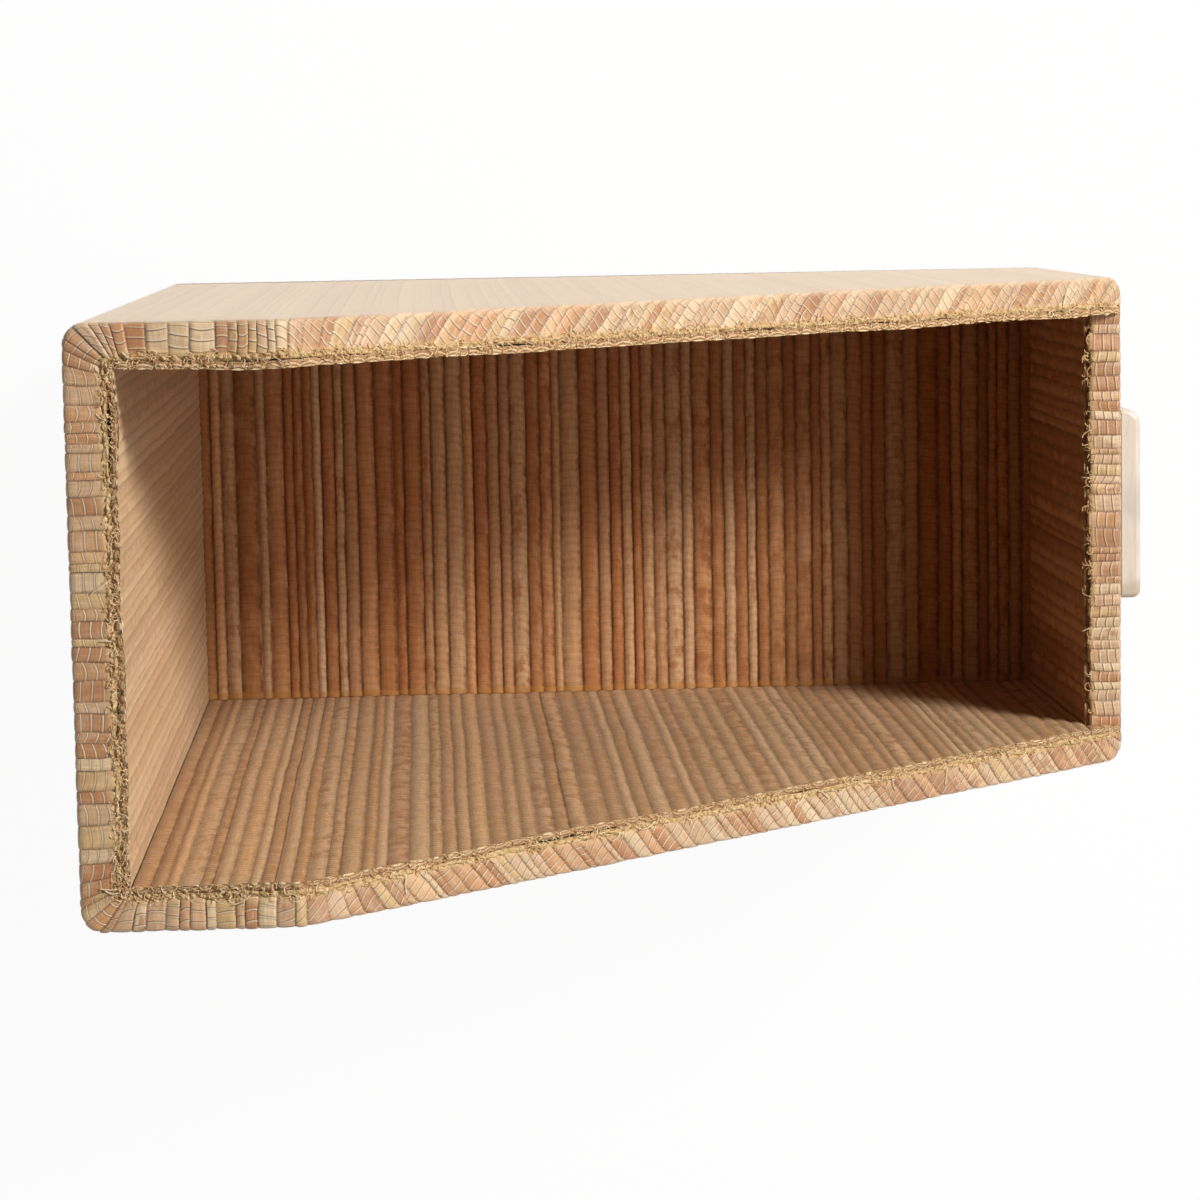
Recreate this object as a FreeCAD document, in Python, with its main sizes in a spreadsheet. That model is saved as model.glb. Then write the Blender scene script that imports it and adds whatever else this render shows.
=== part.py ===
"""Upright file box with a sloping opening.

A carcass of thin board is butted, bradded and glued, covered outside with a woven reed mat that
folds over the rim, lined inside with the same mat, and has a pale bar pull on its low front wall.

Axes: X across the box, Y from the low front (-Y) to the tall back (+Y), Z up.
Origin: the middle of the underside. Lengths are in millimetres.
"""

import FreeCAD, Part
import os
import Sketcher
from FreeCAD import Rotation, Vector

# Driving sizes
SIZES = {
    # Whole box, over the outer mat
    "box_width": 127.0,
    "box_depth": 254.0,
    "back_height": 300.0,
    "front_height": 108.0,
    "level_length": 45.0,
    "corner_round": 5.0,
    # Board and sheet thicknesses
    "wall_board": 6.0,
    "base_board": 15.0,
    "outer_mat": 2.0,
    "inner_mat": 2.0,
    "felt_sheet": 2.0,
    # Rim: rounding of the fold, slit beside the raw edge, and how far the lining stops short
    "fold_round": 1.8,
    "flap_slit": 0.4,
    "lining_drop": 0.6,
    # Brads
    "brad_shank": 1.2,
    "brad_head": 2.4,
    "brad_head_height": 0.8,
    "brad_length": 20.0,
    "brad_margin": 18.0,
    "base_row_count": 5,
    "back_column_count": 4,
    "front_column_count": 2,
    "end_row_count": 3,
    # Bar pull
    "pull_length": 52.0,
    "pull_tall": 14.0,
    "pull_reach": 14.0,
    "pull_centre_height": 54.0,
    "pull_right_round": 4.5,
    "pull_left_round": 2.3,
    "pull_edge_round": 1.5,
    "cove_radius": 4.0,
    "cove_depth": 2.5,
    "cove_from_wall": 5.0,
    # Pull screws
    "screw_spacing": 30.0,
    "screw_shank": 3.5,
    "screw_head": 7.0,
    "screw_length": 17.0,
    "screw_tip_length": 3.0,
    "screw_tip_width": 0.6,
}

X_AXIS, Y_AXIS, Z_AXIS = Vector(1, 0, 0), Vector(0, 1, 0), Vector(0, 0, 1)
NEAR = 1e-4

doc = FreeCAD.newDocument("file_box")
sheet = doc.addObject("Spreadsheet::Sheet", "Sizes")
for row, (alias, value) in enumerate(SIZES.items(), start=1):
    sheet.set(f"A{row}", alias)
    sheet.set(f"B{row}", str(value))
    sheet.setAlias(f"B{row}", alias)
doc.recompute()


def cell(alias):
    """The expression that reads one size from the sheet."""
    return f"Sizes.{alias}"


def number(expression):
    """The value of an expression, in millimetres."""
    return float(sheet.evalExpression(expression))


# Places worked out from the sizes, each an expression on the sheet
HALF_WIDTH = f"({cell('box_width')} / 2)"
HALF_DEPTH = f"({cell('box_depth')} / 2)"
# Faces of the boards, as distances from the middle planes of the box
BOARD_OUT_X = f"({HALF_WIDTH} - {cell('outer_mat')})"
BOARD_OUT_Y = f"({HALF_DEPTH} - {cell('outer_mat')})"
BOARD_IN_X = f"({BOARD_OUT_X} - {cell('wall_board')})"
BOARD_IN_Y = f"({BOARD_OUT_Y} - {cell('wall_board')})"
# Inner faces of the lining
ROOM_X = f"({BOARD_IN_X} - {cell('inner_mat')})"
ROOM_Y = f"({BOARD_IN_Y} - {cell('inner_mat')})"
# Raw edges of the flap on the rim
FLAP_X = f"({BOARD_IN_X} + {cell('flap_slit')})"
FLAP_Y = f"({BOARD_IN_Y} + {cell('flap_slit')})"
# Levels of the base board and of the floor that papers stand on
BASE_LOW = cell("felt_sheet")
BASE_TOP = f"({BASE_LOW} + {cell('base_board')})"
BASE_MIDDLE = f"({BASE_LOW} + {cell('base_board')} / 2)"
ROOM_FLOOR = f"({BASE_TOP} + {cell('inner_mat')})"
# Level tops of the back and front boards
BACK_BOARD_TOP = f"({cell('back_height')} - {cell('outer_mat')})"
FRONT_BOARD_TOP = f"({cell('front_height')} - {cell('outer_mat')})"
# The sloping rim's rise, its run and its length
RISE = f"({cell('back_height')} - {cell('front_height')})"
RUN = f"({cell('box_depth')} - {cell('level_length')})"
SLANT = f"sqrt({RISE} * {RISE} + {RUN} * {RUN})"
# Roundings of the board corners, inside the mat that wraps them
BOARD_ROUND = f"({cell('corner_round')} - {cell('outer_mat')})"


def rim_height(back, inset):
    """Height of the sloping rim at a distance back from the front face, lowered square to itself by inset."""
    return f"({cell('front_height')} + (({back}) * {RISE} - ({inset}) * {SLANT}) / {RUN})"


def bend_y(inset):
    """Where the sloping rim meets the level rim, both lowered by inset."""
    return f"(-{HALF_DEPTH} + {RUN} + ({inset}) * ({SLANT} - {RUN}) / {RISE})"


# Helpers that make features

def new_body(label):
    """An empty body with its label."""
    body = doc.addObject("PartDesign::Body", label)
    body.Label = label
    return body


def new_sketch(body, role, offset):
    """A sketch on one of the body's origin planes, moved along the plane's normal by an expression."""
    sketch = body.newObject("Sketcher::SketchObject", f"{body.Label}_sketch")
    plane = next(item for item in body.Origin.OriginFeatures if item.Role == role)
    sketch.AttachmentSupport = [(plane, "")]
    sketch.MapMode = "FlatFace"
    sketch.setExpression("AttachmentOffset.Base.z", offset)
    return sketch


def hold_point(sketch, geometry, point, across, along):
    """Hold a point of a sketch at two expressions measured from the sketch's origin."""
    for kind, expression in (("DistanceX", across), ("DistanceY", along)):
        constraint = Sketcher.Constraint(kind, -1, 1, geometry, point, number(expression))
        index = sketch.addConstraint(constraint)
        sketch.setExpression(f"Constraints[{index}]", expression)


def draw_outline(sketch, corners):
    """A closed outline of straight lines through corners, each a pair of expressions."""
    points = [Vector(number(across), number(along), 0) for across, along in corners]
    count = len(points)
    for index in range(count):
        sketch.addGeometry(Part.LineSegment(points[index], points[(index + 1) % count]))
    for index in range(count):
        sketch.addConstraint(Sketcher.Constraint("Coincident", index, 2, (index + 1) % count, 1))
    for index, (across, along) in enumerate(corners):
        hold_point(sketch, index, 1, across, along)


def draw_rectangle(sketch, low, high):
    """A closed rectangle between two corners, each a pair of expressions."""
    draw_outline(sketch, [low, (high[0], low[1]), high, (low[0], high[1])])


def add_pad(body, sketch, length, both_ways=False):
    """A pad of a sketch, from its plane along the normal, or half to each side of it."""
    pad = body.newObject("PartDesign::Pad", f"{body.Label}_pad")
    pad.Profile = sketch
    pad.setExpression("Length", length)
    pad.Midplane = both_ways
    doc.recompute()
    return pad


def add_pocket(body, sketch, length):
    """A pocket of a sketch, half to each side of its plane, that has to take something away."""
    before = body.Shape.Volume
    pocket = body.newObject("PartDesign::Pocket", f"{body.Label}_pocket")
    pocket.Profile = sketch
    pocket.setExpression("Length", length)
    pocket.Midplane = True
    doc.recompute()
    if body.Shape.Volume >= before:
        raise RuntimeError(f"the pocket in {body.Label} cuts nothing")
    return pocket


def add_fillet(body, feature, radius, chosen):
    """A fillet of every edge of a feature that the test picks."""
    names = [f"Edge{index}" for index, edge in enumerate(feature.Shape.Edges, start=1) if chosen(edge)]
    if not names:
        raise RuntimeError(f"no edge to round in {body.Label}")
    fillet = body.newObject("PartDesign::Fillet", f"{body.Label}_fillet")
    fillet.Base = (feature, names)
    fillet.setExpression("Radius", radius)
    doc.recompute()
    return fillet


def is_upright(edge):
    """Whether an edge is straight and runs along Z."""
    box = edge.BoundBox
    return box.XLength < NEAR and box.YLength < NEAR and box.ZLength > NEAR


def solid_of_turning(kind, label, radii, length, place, direction):
    """A Part cylinder or cone along a direction, its sizes and place given by expressions."""
    item = doc.addObject(kind, label)
    for name, expression in {**radii, "Height": length}.items():
        item.setExpression(name, expression)
    item.Placement.Rotation = Rotation(Z_AXIS, direction)
    for axis, expression in zip("xyz", place):
        item.setExpression(f"Placement.Base.{axis}", expression)
    return item


def spread(count, index, low, high):
    """The place of one of count things spaced evenly from low to high."""
    if count < 2:
        return f"(({low}) + ({high})) / 2"
    return f"({low}) + (({high}) - ({low})) * {index} / {count - 1}"


def how_many(alias):
    """A count from the sheet."""
    return round(number(cell(alias)))


# Finished sub-parts, by node name
nodes = {}


def keep(item, name):
    """Label a finished object as a node and keep it for export."""
    item.Label = name
    nodes[name] = item


def keep_drilled(body, tools, name):
    """Drill a body with the fasteners that pass through it, and keep the result as a node."""
    holes = doc.addObject("Part::Compound", f"{name}_holes")
    holes.Links = tools
    drilled = doc.addObject("Part::Cut", name)
    drilled.Base = body
    drilled.Tool = holes
    keep(drilled, name)


# Brads: a shank and a flat head, flush with the outer face of the board that they go through

def make_brad(label, start, direction):
    """One brad from the middle of its head's outer face."""
    shank = solid_of_turning(
        "Part::Cylinder", f"{label}_shank", {"Radius": f"{cell('brad_shank')} / 2"},
        cell("brad_length"), start, direction)
    head = solid_of_turning(
        "Part::Cylinder", f"{label}_head", {"Radius": f"{cell('brad_head')} / 2"},
        cell("brad_head_height"), start, direction)
    brad = doc.addObject("Part::Fuse", label)
    brad.Base = shank
    brad.Tool = head
    return brad


def make_side_brads(side, sign):
    """The brads through one side board: a row into the base, a column into the back and one into the front."""
    margin = cell("brad_margin")
    low = f"{BASE_TOP} + {margin}"
    places = []
    for index in range(how_many("base_row_count")):
        along = spread(how_many("base_row_count"), index,
                       f"-{BOARD_IN_Y} + {margin}", f"{BOARD_IN_Y} - {margin}")
        places.append((along, BASE_MIDDLE))
    columns = (("back_column_count", "+", BACK_BOARD_TOP), ("front_column_count", "-", FRONT_BOARD_TOP))
    for count_name, end, top in columns:
        for index in range(how_many(count_name)):
            along = f"{end}({BOARD_IN_Y} + {cell('wall_board')} / 2)"
            places.append((along, spread(how_many(count_name), index, low, f"{top} - {margin}")))
    start_x = BOARD_OUT_X if sign > 0 else f"-{BOARD_OUT_X}"
    return [make_brad(f"{side}_brad_{index}", (start_x, along, height), X_AXIS * -sign)
            for index, (along, height) in enumerate(places)]


def make_end_brads(end, sign):
    """The row of brads through the back or the front board into the end of the base."""
    start_y = BOARD_OUT_Y if sign > 0 else f"-{BOARD_OUT_Y}"
    count = how_many("end_row_count")
    margin = cell("brad_margin")
    places = [spread(count, index, f"-{BOARD_IN_X} + {margin}", f"{BOARD_IN_X} - {margin}")
              for index in range(count)]
    return [make_brad(f"{end}_brad_{index}", (across, start_y, BASE_MIDDLE), Y_AXIS * -sign)
            for index, across in enumerate(places)]


left_brads = make_side_brads("left", -1)
right_brads = make_side_brads("right", 1)
back_brads = make_end_brads("back", 1)
front_brads = make_end_brads("front", -1)

for name, group in (("side_brads", left_brads + right_brads), ("end_brads", back_brads + front_brads)):
    set_of_brads = doc.addObject("Part::Compound", name)
    set_of_brads.Links = group
    keep(set_of_brads, name)


# Pull screws: countersunk, from the inner face of the front board out into the pull

def make_screw(label, across):
    """One wood screw: a coned head, a plain shank and a pointed tip."""
    head_height = f"({cell('screw_head')} - {cell('screw_shank')}) / 2"
    tip_start = f"{cell('screw_length')} - {cell('screw_tip_length')}"
    inner_face = f"-{BOARD_IN_Y}"
    height = cell("pull_centre_height")
    shank_radius = f"{cell('screw_shank')} / 2"
    head = solid_of_turning(
        "Part::Cone", f"{label}_head", {"Radius1": f"{cell('screw_head')} / 2", "Radius2": shank_radius},
        head_height, (across, inner_face, height), -Y_AXIS)
    shank = solid_of_turning(
        "Part::Cylinder", f"{label}_shank", {"Radius": shank_radius},
        tip_start, (across, inner_face, height), -Y_AXIS)
    tip = solid_of_turning(
        "Part::Cone", f"{label}_tip", {"Radius1": shank_radius, "Radius2": f"{cell('screw_tip_width')} / 2"},
        cell("screw_tip_length"), (across, f"{inner_face} - ({tip_start})", height), -Y_AXIS)
    screw = doc.addObject("Part::MultiFuse", label)
    screw.Shapes = [head, shank, tip]
    return screw


screws = [make_screw("right_screw", f"{cell('screw_spacing')} / 2"),
          make_screw("left_screw", f"-{cell('screw_spacing')} / 2")]
pull_screws = doc.addObject("Part::Compound", "pull_screws")
pull_screws.Links = screws
keep(pull_screws, "pull_screws")


# Carcass boards

def make_side_panel(side, sign, brads):
    """A side board: its top runs level from the back, then slopes straight down to the front."""
    body = new_body(f"{side}_side_board")
    plane = BOARD_IN_X if sign > 0 else f"-{BOARD_OUT_X}"
    sketch = new_sketch(body, "YZ_Plane", plane)
    mat = cell("outer_mat")
    draw_outline(sketch, [
        (f"-{BOARD_OUT_Y}", BASE_LOW),
        (BOARD_OUT_Y, BASE_LOW),
        (BOARD_OUT_Y, BACK_BOARD_TOP),
        (bend_y(mat), BACK_BOARD_TOP),
        (f"-{BOARD_OUT_Y}", rim_height(mat, mat)),
    ])
    pad = add_pad(body, sketch, cell("wall_board"))
    outer_x = sign * number(BOARD_OUT_X)
    add_fillet(body, pad, BOARD_ROUND,
               lambda edge: is_upright(edge) and abs(edge.BoundBox.XMin - outer_x) < NEAR)
    keep_drilled(body, brads, f"{side}_side_panel")


def make_end_panel(end, sign, top, tools):
    """The back or the front board, square-cut and held between the side boards."""
    body = new_body(f"{end}_board")
    sketch = new_sketch(body, "YZ_Plane", "0")
    near, far = (BOARD_IN_Y, BOARD_OUT_Y) if sign > 0 else (f"-{BOARD_OUT_Y}", f"-{BOARD_IN_Y}")
    draw_rectangle(sketch, (near, BASE_LOW), (far, top))
    add_pad(body, sketch, f"2 * {BOARD_IN_X}", both_ways=True)
    keep_drilled(body, tools, f"{end}_panel")


def make_base_panel(tools):
    """The base board, held between all four walls."""
    body = new_body("base_board_blank")
    sketch = new_sketch(body, "XY_Plane", BASE_LOW)
    draw_rectangle(sketch, (f"-{BOARD_IN_X}", f"-{BOARD_IN_Y}"), (BOARD_IN_X, BOARD_IN_Y))
    add_pad(body, sketch, cell("base_board"))
    keep_drilled(body, tools, "base_panel")


# A brad in a side board also enters the edge of one of the boards that the side covers
def entering(brads, first, count):
    """The brads of a side that enter one board, by their order in the row and the two columns."""
    return brads[first:first + count]


rows = how_many("base_row_count")
backs = how_many("back_column_count")
fronts = how_many("front_column_count")
into_base, into_back, into_front = [], [], []
for side_brads in (left_brads, right_brads):
    into_base += entering(side_brads, 0, rows)
    into_back += entering(side_brads, rows, backs)
    into_front += entering(side_brads, rows + backs, fronts)

make_side_panel("left", -1, left_brads)
make_side_panel("right", 1, right_brads)
make_end_panel("back", 1, BACK_BOARD_TOP, into_back + back_brads)
make_end_panel("front", -1, FRONT_BOARD_TOP, into_front + front_brads + screws)
make_base_panel(into_base + back_brads + front_brads)


# Outer mat

def make_wrap_cover():
    """The long mat round left side, back and right side, turned a little past each front corner.

    It is the whole box's outline, hollowed to the boards, then cut open inside the rim's flap and
    between the two returns on the front.
    """
    body = new_body("wrap_cover")
    outer = new_sketch(body, "YZ_Plane", "0")
    draw_outline(outer, [
        (f"-{HALF_DEPTH}", "0"),
        (HALF_DEPTH, "0"),
        (HALF_DEPTH, cell("back_height")),
        (bend_y("0"), cell("back_height")),
        (f"-{HALF_DEPTH}", cell("front_height")),
    ])
    block = add_pad(body, outer, cell("box_width"), both_ways=True)
    rounded = add_fillet(body, block, cell("corner_round"), is_upright)
    bend = number(bend_y("0"))

    def on_rim_outside(edge):
        """Whether an edge bounds the level or the sloping top, except the bend between the two."""
        middle = edge.CenterOfMass
        back = middle.y + number(HALF_DEPTH)
        top = min(number(cell("back_height")), number(rim_height(f"{back}", "0")))
        at_bend = abs(middle.y - bend) < NEAR and edge.BoundBox.YLength < NEAR
        low = number(cell("front_height")) - NEAR
        return edge.BoundBox.ZMin > low and middle.z > top - 1 and not at_bend and not is_upright(edge)

    folded = add_fillet(body, rounded, cell("fold_round"), on_rim_outside)
    mat = cell("outer_mat")
    core = new_sketch(body, "YZ_Plane", "0")
    draw_outline(core, [
        (f"-{BOARD_OUT_Y}", f"-{mat}"),
        (BOARD_OUT_Y, f"-{mat}"),
        (BOARD_OUT_Y, BACK_BOARD_TOP),
        (bend_y(mat), BACK_BOARD_TOP),
        (f"-{BOARD_OUT_Y}", rim_height(mat, mat)),
    ])
    hollow = add_pocket(body, core, f"2 * {BOARD_OUT_X}")
    inner_x = number(BOARD_OUT_X)
    inner_y = number(BOARD_OUT_Y)

    def is_inner_corner(edge):
        """Whether an edge is an upright corner of the hollow."""
        box = edge.BoundBox
        return is_upright(edge) and abs(abs(box.XMin) - inner_x) < NEAR and abs(abs(box.YMin) - inner_y) < NEAR

    add_fillet(body, hollow, BOARD_ROUND, is_inner_corner)
    mouth = new_sketch(body, "XY_Plane", "0")
    draw_rectangle(mouth, (f"-{FLAP_X}", f"-{HALF_DEPTH} - {mat}"), (FLAP_X, FLAP_Y))
    add_pocket(body, mouth, f"2 * {cell('back_height')} + {mat}")
    keep(body, "wrap_cover")


def make_front_cover():
    """The mat on the low front, folded back over the front board's level top."""
    body = new_body("front_mat")
    sketch = new_sketch(body, "YZ_Plane", "0")
    draw_outline(sketch, [
        (f"-{HALF_DEPTH}", "0"),
        (f"-{BOARD_OUT_Y}", "0"),
        (f"-{BOARD_OUT_Y}", FRONT_BOARD_TOP),
        (f"-{FLAP_Y}", FRONT_BOARD_TOP),
        (f"-{FLAP_Y}", cell("front_height")),
        (f"-{HALF_DEPTH}", cell("front_height")),
    ])
    pad = add_pad(body, sketch, f"2 * {FLAP_X}", both_ways=True)
    face_y = -number(HALF_DEPTH)
    top = number(cell("front_height"))

    def is_fold(edge):
        """Whether an edge is the outer top edge, where the mat folds over."""
        middle = edge.CenterOfMass
        return abs(middle.y - face_y) < NEAR and abs(middle.z - top) < NEAR

    add_fillet(body, pad, cell("fold_round"), is_fold)
    keep_drilled(body, screws, "front_cover")


def make_underside_cover():
    """The felt under the boards, inside the lower edge of the outer mat."""
    body = new_body("underside_cover")
    sketch = new_sketch(body, "XY_Plane", "0")
    draw_rectangle(sketch, (f"-{BOARD_OUT_X}", f"-{BOARD_OUT_Y}"), (BOARD_OUT_X, BOARD_OUT_Y))
    pad = add_pad(body, sketch, cell("felt_sheet"))
    add_fillet(body, pad, BOARD_ROUND, is_upright)
    keep(body, "underside_cover")


make_wrap_cover()
make_front_cover()
make_underside_cover()


# Inner mat

def make_base_lining():
    """The lining laid over the whole base board, under the wall linings."""
    body = new_body("base_lining")
    sketch = new_sketch(body, "XY_Plane", BASE_TOP)
    draw_rectangle(sketch, (f"-{BOARD_IN_X}", f"-{BOARD_IN_Y}"), (BOARD_IN_X, BOARD_IN_Y))
    add_pad(body, sketch, cell("inner_mat"))
    keep(body, "base_lining")


def make_end_lining(end, sign, rim):
    """The lining of the back or the front board, from the floor to just under the rim."""
    body = new_body(f"{end}_lining")
    sketch = new_sketch(body, "YZ_Plane", "0")
    near, far = (ROOM_Y, BOARD_IN_Y) if sign > 0 else (f"-{BOARD_IN_Y}", f"-{ROOM_Y}")
    draw_rectangle(sketch, (near, ROOM_FLOOR), (far, f"{rim} - {cell('lining_drop')}"))
    add_pad(body, sketch, f"2 * {BOARD_IN_X}", both_ways=True)
    keep(body, f"{end}_lining")


def make_side_lining(side, sign):
    """The lining of a side board, which also runs forward over the front's folded rim as a tongue."""
    body = new_body(f"{side}_side_lining")
    plane = ROOM_X if sign > 0 else f"-{BOARD_IN_X}"
    sketch = new_sketch(body, "YZ_Plane", plane)
    drop = cell("lining_drop")
    level_top = f"{cell('back_height')} - {drop}"
    tongue_tip = f"-{HALF_DEPTH} + {drop} * {SLANT} / {RISE}"
    draw_outline(sketch, [
        (f"-{ROOM_Y}", ROOM_FLOOR),
        (ROOM_Y, ROOM_FLOOR),
        (ROOM_Y, level_top),
        (bend_y(drop), level_top),
        (tongue_tip, cell("front_height")),
        (f"-{ROOM_Y}", cell("front_height")),
    ])
    add_pad(body, sketch, cell("inner_mat"))
    keep(body, f"{side}_side_lining")


make_base_lining()
make_end_lining("back", 1, cell("back_height"))
make_end_lining("front", -1, cell("front_height"))
make_side_lining("left", -1)
make_side_lining("right", 1)


# Bar pull

def make_pull():
    """A solid bar with one end rounder than the other and a cove above and below for the fingers."""
    body = new_body("pull_bar")
    plan = new_sketch(body, "XY_Plane", "0")
    half_length = f"{cell('pull_length')} / 2"
    draw_rectangle(plan, (f"-{half_length}", f"-{cell('pull_reach')}"), (half_length, "0"))
    bar = add_pad(body, plan, cell("pull_tall"), both_ways=True)
    front_y = -number(cell("pull_reach"))
    feature = bar
    for sign, radius in ((1, "pull_right_round"), (-1, "pull_left_round")):
        corner_x = sign * number(half_length)

        def is_end_corner(edge):
            """Whether an edge is the upright outer corner at this end of the bar."""
            box = edge.BoundBox
            return is_upright(edge) and abs(box.XMin - corner_x) < NEAR and abs(box.YMin - front_y) < NEAR

        feature = add_fillet(body, feature, cell(radius), is_end_corner)
    half_tall = number(cell("pull_tall")) / 2

    def is_soft_edge(edge):
        """Whether an edge bounds the top or the bottom face, away from the wall."""
        middle = edge.CenterOfMass
        return abs(abs(middle.z) - half_tall) < NEAR and middle.y < -NEAR

    add_fillet(body, feature, cell("pull_edge_round"), is_soft_edge)
    coves = new_sketch(body, "YZ_Plane", "0")
    across = f"-{cell('cove_from_wall')}"
    reach = f"({cell('pull_tall')} / 2 + {cell('cove_radius')} - {cell('cove_depth')})"
    for geometry, along in enumerate((reach, f"-{reach}")):
        centre = Vector(number(across), number(along), 0)
        sketch_circle = Part.Circle(centre, Z_AXIS, number(cell("cove_radius")))
        coves.addGeometry(sketch_circle)
        hold_point(coves, geometry, 3, across, along)
        index = coves.addConstraint(
            Sketcher.Constraint("Radius", geometry, number(cell("cove_radius"))))
        coves.setExpression(f"Constraints[{index}]", cell("cove_radius"))
    add_pocket(body, coves, f"2 * {cell('pull_length')}")
    body.setExpression("Placement.Base.y", f"-{HALF_DEPTH}")
    body.setExpression("Placement.Base.z", cell("pull_centre_height"))
    keep_drilled(body, screws, "pull")


make_pull()
doc.recompute()

# Checks before anything is written
for item in doc.Objects:
    if "Invalid" in item.State or "Error" in item.State:
        raise RuntimeError(f"{item.Label} did not recompute: {item.State}")
for name, item in nodes.items():
    if item.Shape.isNull() or not item.Shape.isValid() or not item.Shape.Solids:
        raise RuntimeError(f"{name} has no valid solid")

os.makedirs("parts", exist_ok=True)
for name, item in nodes.items():
    item.Shape.exportStep(os.path.join("parts", f"{name}.step"))
    box = item.Shape.BoundBox
    print(f"{name}: {len(item.Shape.Solids)} solid(s), {item.Shape.Volume / 1000:.1f} cm3, "
          f"{box.XLength:.1f} x {box.YLength:.1f} x {box.ZLength:.1f} mm")
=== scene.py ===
import logging
from collections.abc import Callable
from dataclasses import dataclass, replace
from enum import Enum

import bpy
import numpy as np
from mathutils import Matrix, Vector

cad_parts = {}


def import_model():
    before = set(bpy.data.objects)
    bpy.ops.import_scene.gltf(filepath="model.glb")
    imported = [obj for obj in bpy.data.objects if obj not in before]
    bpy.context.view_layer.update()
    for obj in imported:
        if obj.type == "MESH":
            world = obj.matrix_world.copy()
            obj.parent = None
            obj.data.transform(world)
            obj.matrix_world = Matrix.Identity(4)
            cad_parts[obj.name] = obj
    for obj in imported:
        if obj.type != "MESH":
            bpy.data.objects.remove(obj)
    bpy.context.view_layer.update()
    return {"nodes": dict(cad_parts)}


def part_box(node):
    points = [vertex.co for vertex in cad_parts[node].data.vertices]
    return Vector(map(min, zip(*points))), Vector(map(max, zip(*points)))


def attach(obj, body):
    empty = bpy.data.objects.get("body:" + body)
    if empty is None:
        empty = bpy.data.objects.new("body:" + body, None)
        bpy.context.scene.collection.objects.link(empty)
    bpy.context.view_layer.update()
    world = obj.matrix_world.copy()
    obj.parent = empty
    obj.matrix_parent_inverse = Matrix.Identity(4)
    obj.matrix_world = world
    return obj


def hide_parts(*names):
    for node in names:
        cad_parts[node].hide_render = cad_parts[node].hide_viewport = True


# Upright file box with a sloping opening, covered and lined in woven reed mat.
#
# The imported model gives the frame: board carcass, brads, screws, felt and the bone pull stay as they are
# and get their finishes here. The reed mats are worked out strip by strip and stand for the plain covers
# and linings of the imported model. Lengths in the classes are in millimetres, and become metres in the
# meshes.

LOG = logging.getLogger("file_box")
MM = 0.001
Socket = bpy.types.NodeSocket

# Distance between two threads of a mat, in mm.
THREAD_PITCH = 2.35
# How far the front mat reaches past the inner edge of the plain flap, in mm.
FRONT_OVERLAP = 1.1

# Settings that many nodes share.
MULTIPLY_ADD = {"operation": "MULTIPLY_ADD"}
MULTIPLY = {"operation": "MULTIPLY"}
SUBTRACT = {"operation": "SUBTRACT"}
ABSOLUTE = {"operation": "ABSOLUTE"}
MAXIMUM = {"operation": "MAXIMUM"}
SMOOTH = {"interpolation_type": "SMOOTHSTEP"}
COLOURS = {"data_type": "RGBA"}

# Directions in the frame.
RIGHT = (1.0, 0.0, 0.0)
LEFT = (-1.0, 0.0, 0.0)
BACKWARD = (0.0, 1.0, 0.0)
FORWARD = (0.0, -1.0, 0.0)
UP = (0.0, 0.0, 1.0)

# Places of the columns across one strip, from its left groove to just before its right one.
ACROSS = np.array([0.0, 0.05, 0.18, 0.38, 0.62, 0.82, 0.95])
COLUMNS = len(ACROSS)
# Places of the rows over a lining's cut end, from its face to its back.
OVER_END = np.array([0.06, 0.25, 0.5, 0.75, 0.95])[:, None]


def linear(colour: str) -> tuple[float, float, float, float]:
    """Turns an sRGB hex colour into linear red, green, blue and alpha.

    Args:
        colour: the colour as "#rrggbb".

    Returns:
        The linear colour, with alpha 1.
    """
    parts = np.array([int(colour[i : i + 2], 16) for i in (1, 3, 5)]) / 255.0
    values = np.where(parts <= 0.04045, parts / 12.92, ((parts + 0.055) / 1.055) ** 2.4)
    return (float(values[0]), float(values[1]), float(values[2]), 1.0)


def add_node(
    tree: bpy.types.NodeTree,
    kind: str,
    settings: dict | None = None,
    inputs: dict | None = None,
    stops: list[tuple[float, str]] | None = None,
) -> bpy.types.Node:
    """Adds one node with its settings and links.

    Args:
        tree: the node tree that gets the node.
        kind: the node's type.
        settings: the node's own properties by name.
        inputs: values, sockets or nodes by input name or index; a socket or a node's first output is linked.
        stops: places and sRGB hex colours for a colour ramp.

    Returns:
        The new node.
    """
    node = tree.nodes.new(kind)
    for name, value in (settings or {}).items():
        setattr(node, name, value)
    for place, (position, colour) in enumerate(stops or []):
        elements = node.color_ramp.elements
        element = elements[place] if place < 2 else elements.new(position)
        element.position = position
        element.color = linear(colour)
    for key, value in (inputs or {}).items():
        source = value.outputs[0] if isinstance(value, bpy.types.Node) else value
        if isinstance(source, Socket):
            tree.links.new(source, node.inputs[key])
        else:
            node.inputs[key].default_value = source
    return node


def new_finish(name: str) -> tuple[bpy.types.Material, bpy.types.NodeTree, bpy.types.Node]:
    """Starts a material with a Principled shader.

    Args:
        name: the material's name.

    Returns:
        The material, its node tree and its Principled shader.
    """
    material = bpy.data.materials.new(name)
    material.use_nodes = True
    tree = material.node_tree
    tree.nodes.clear()
    shader = add_node(tree, "ShaderNodeBsdfPrincipled")
    add_node(tree, "ShaderNodeOutputMaterial", {}, {"Surface": shader})
    return material, tree, shader


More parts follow.
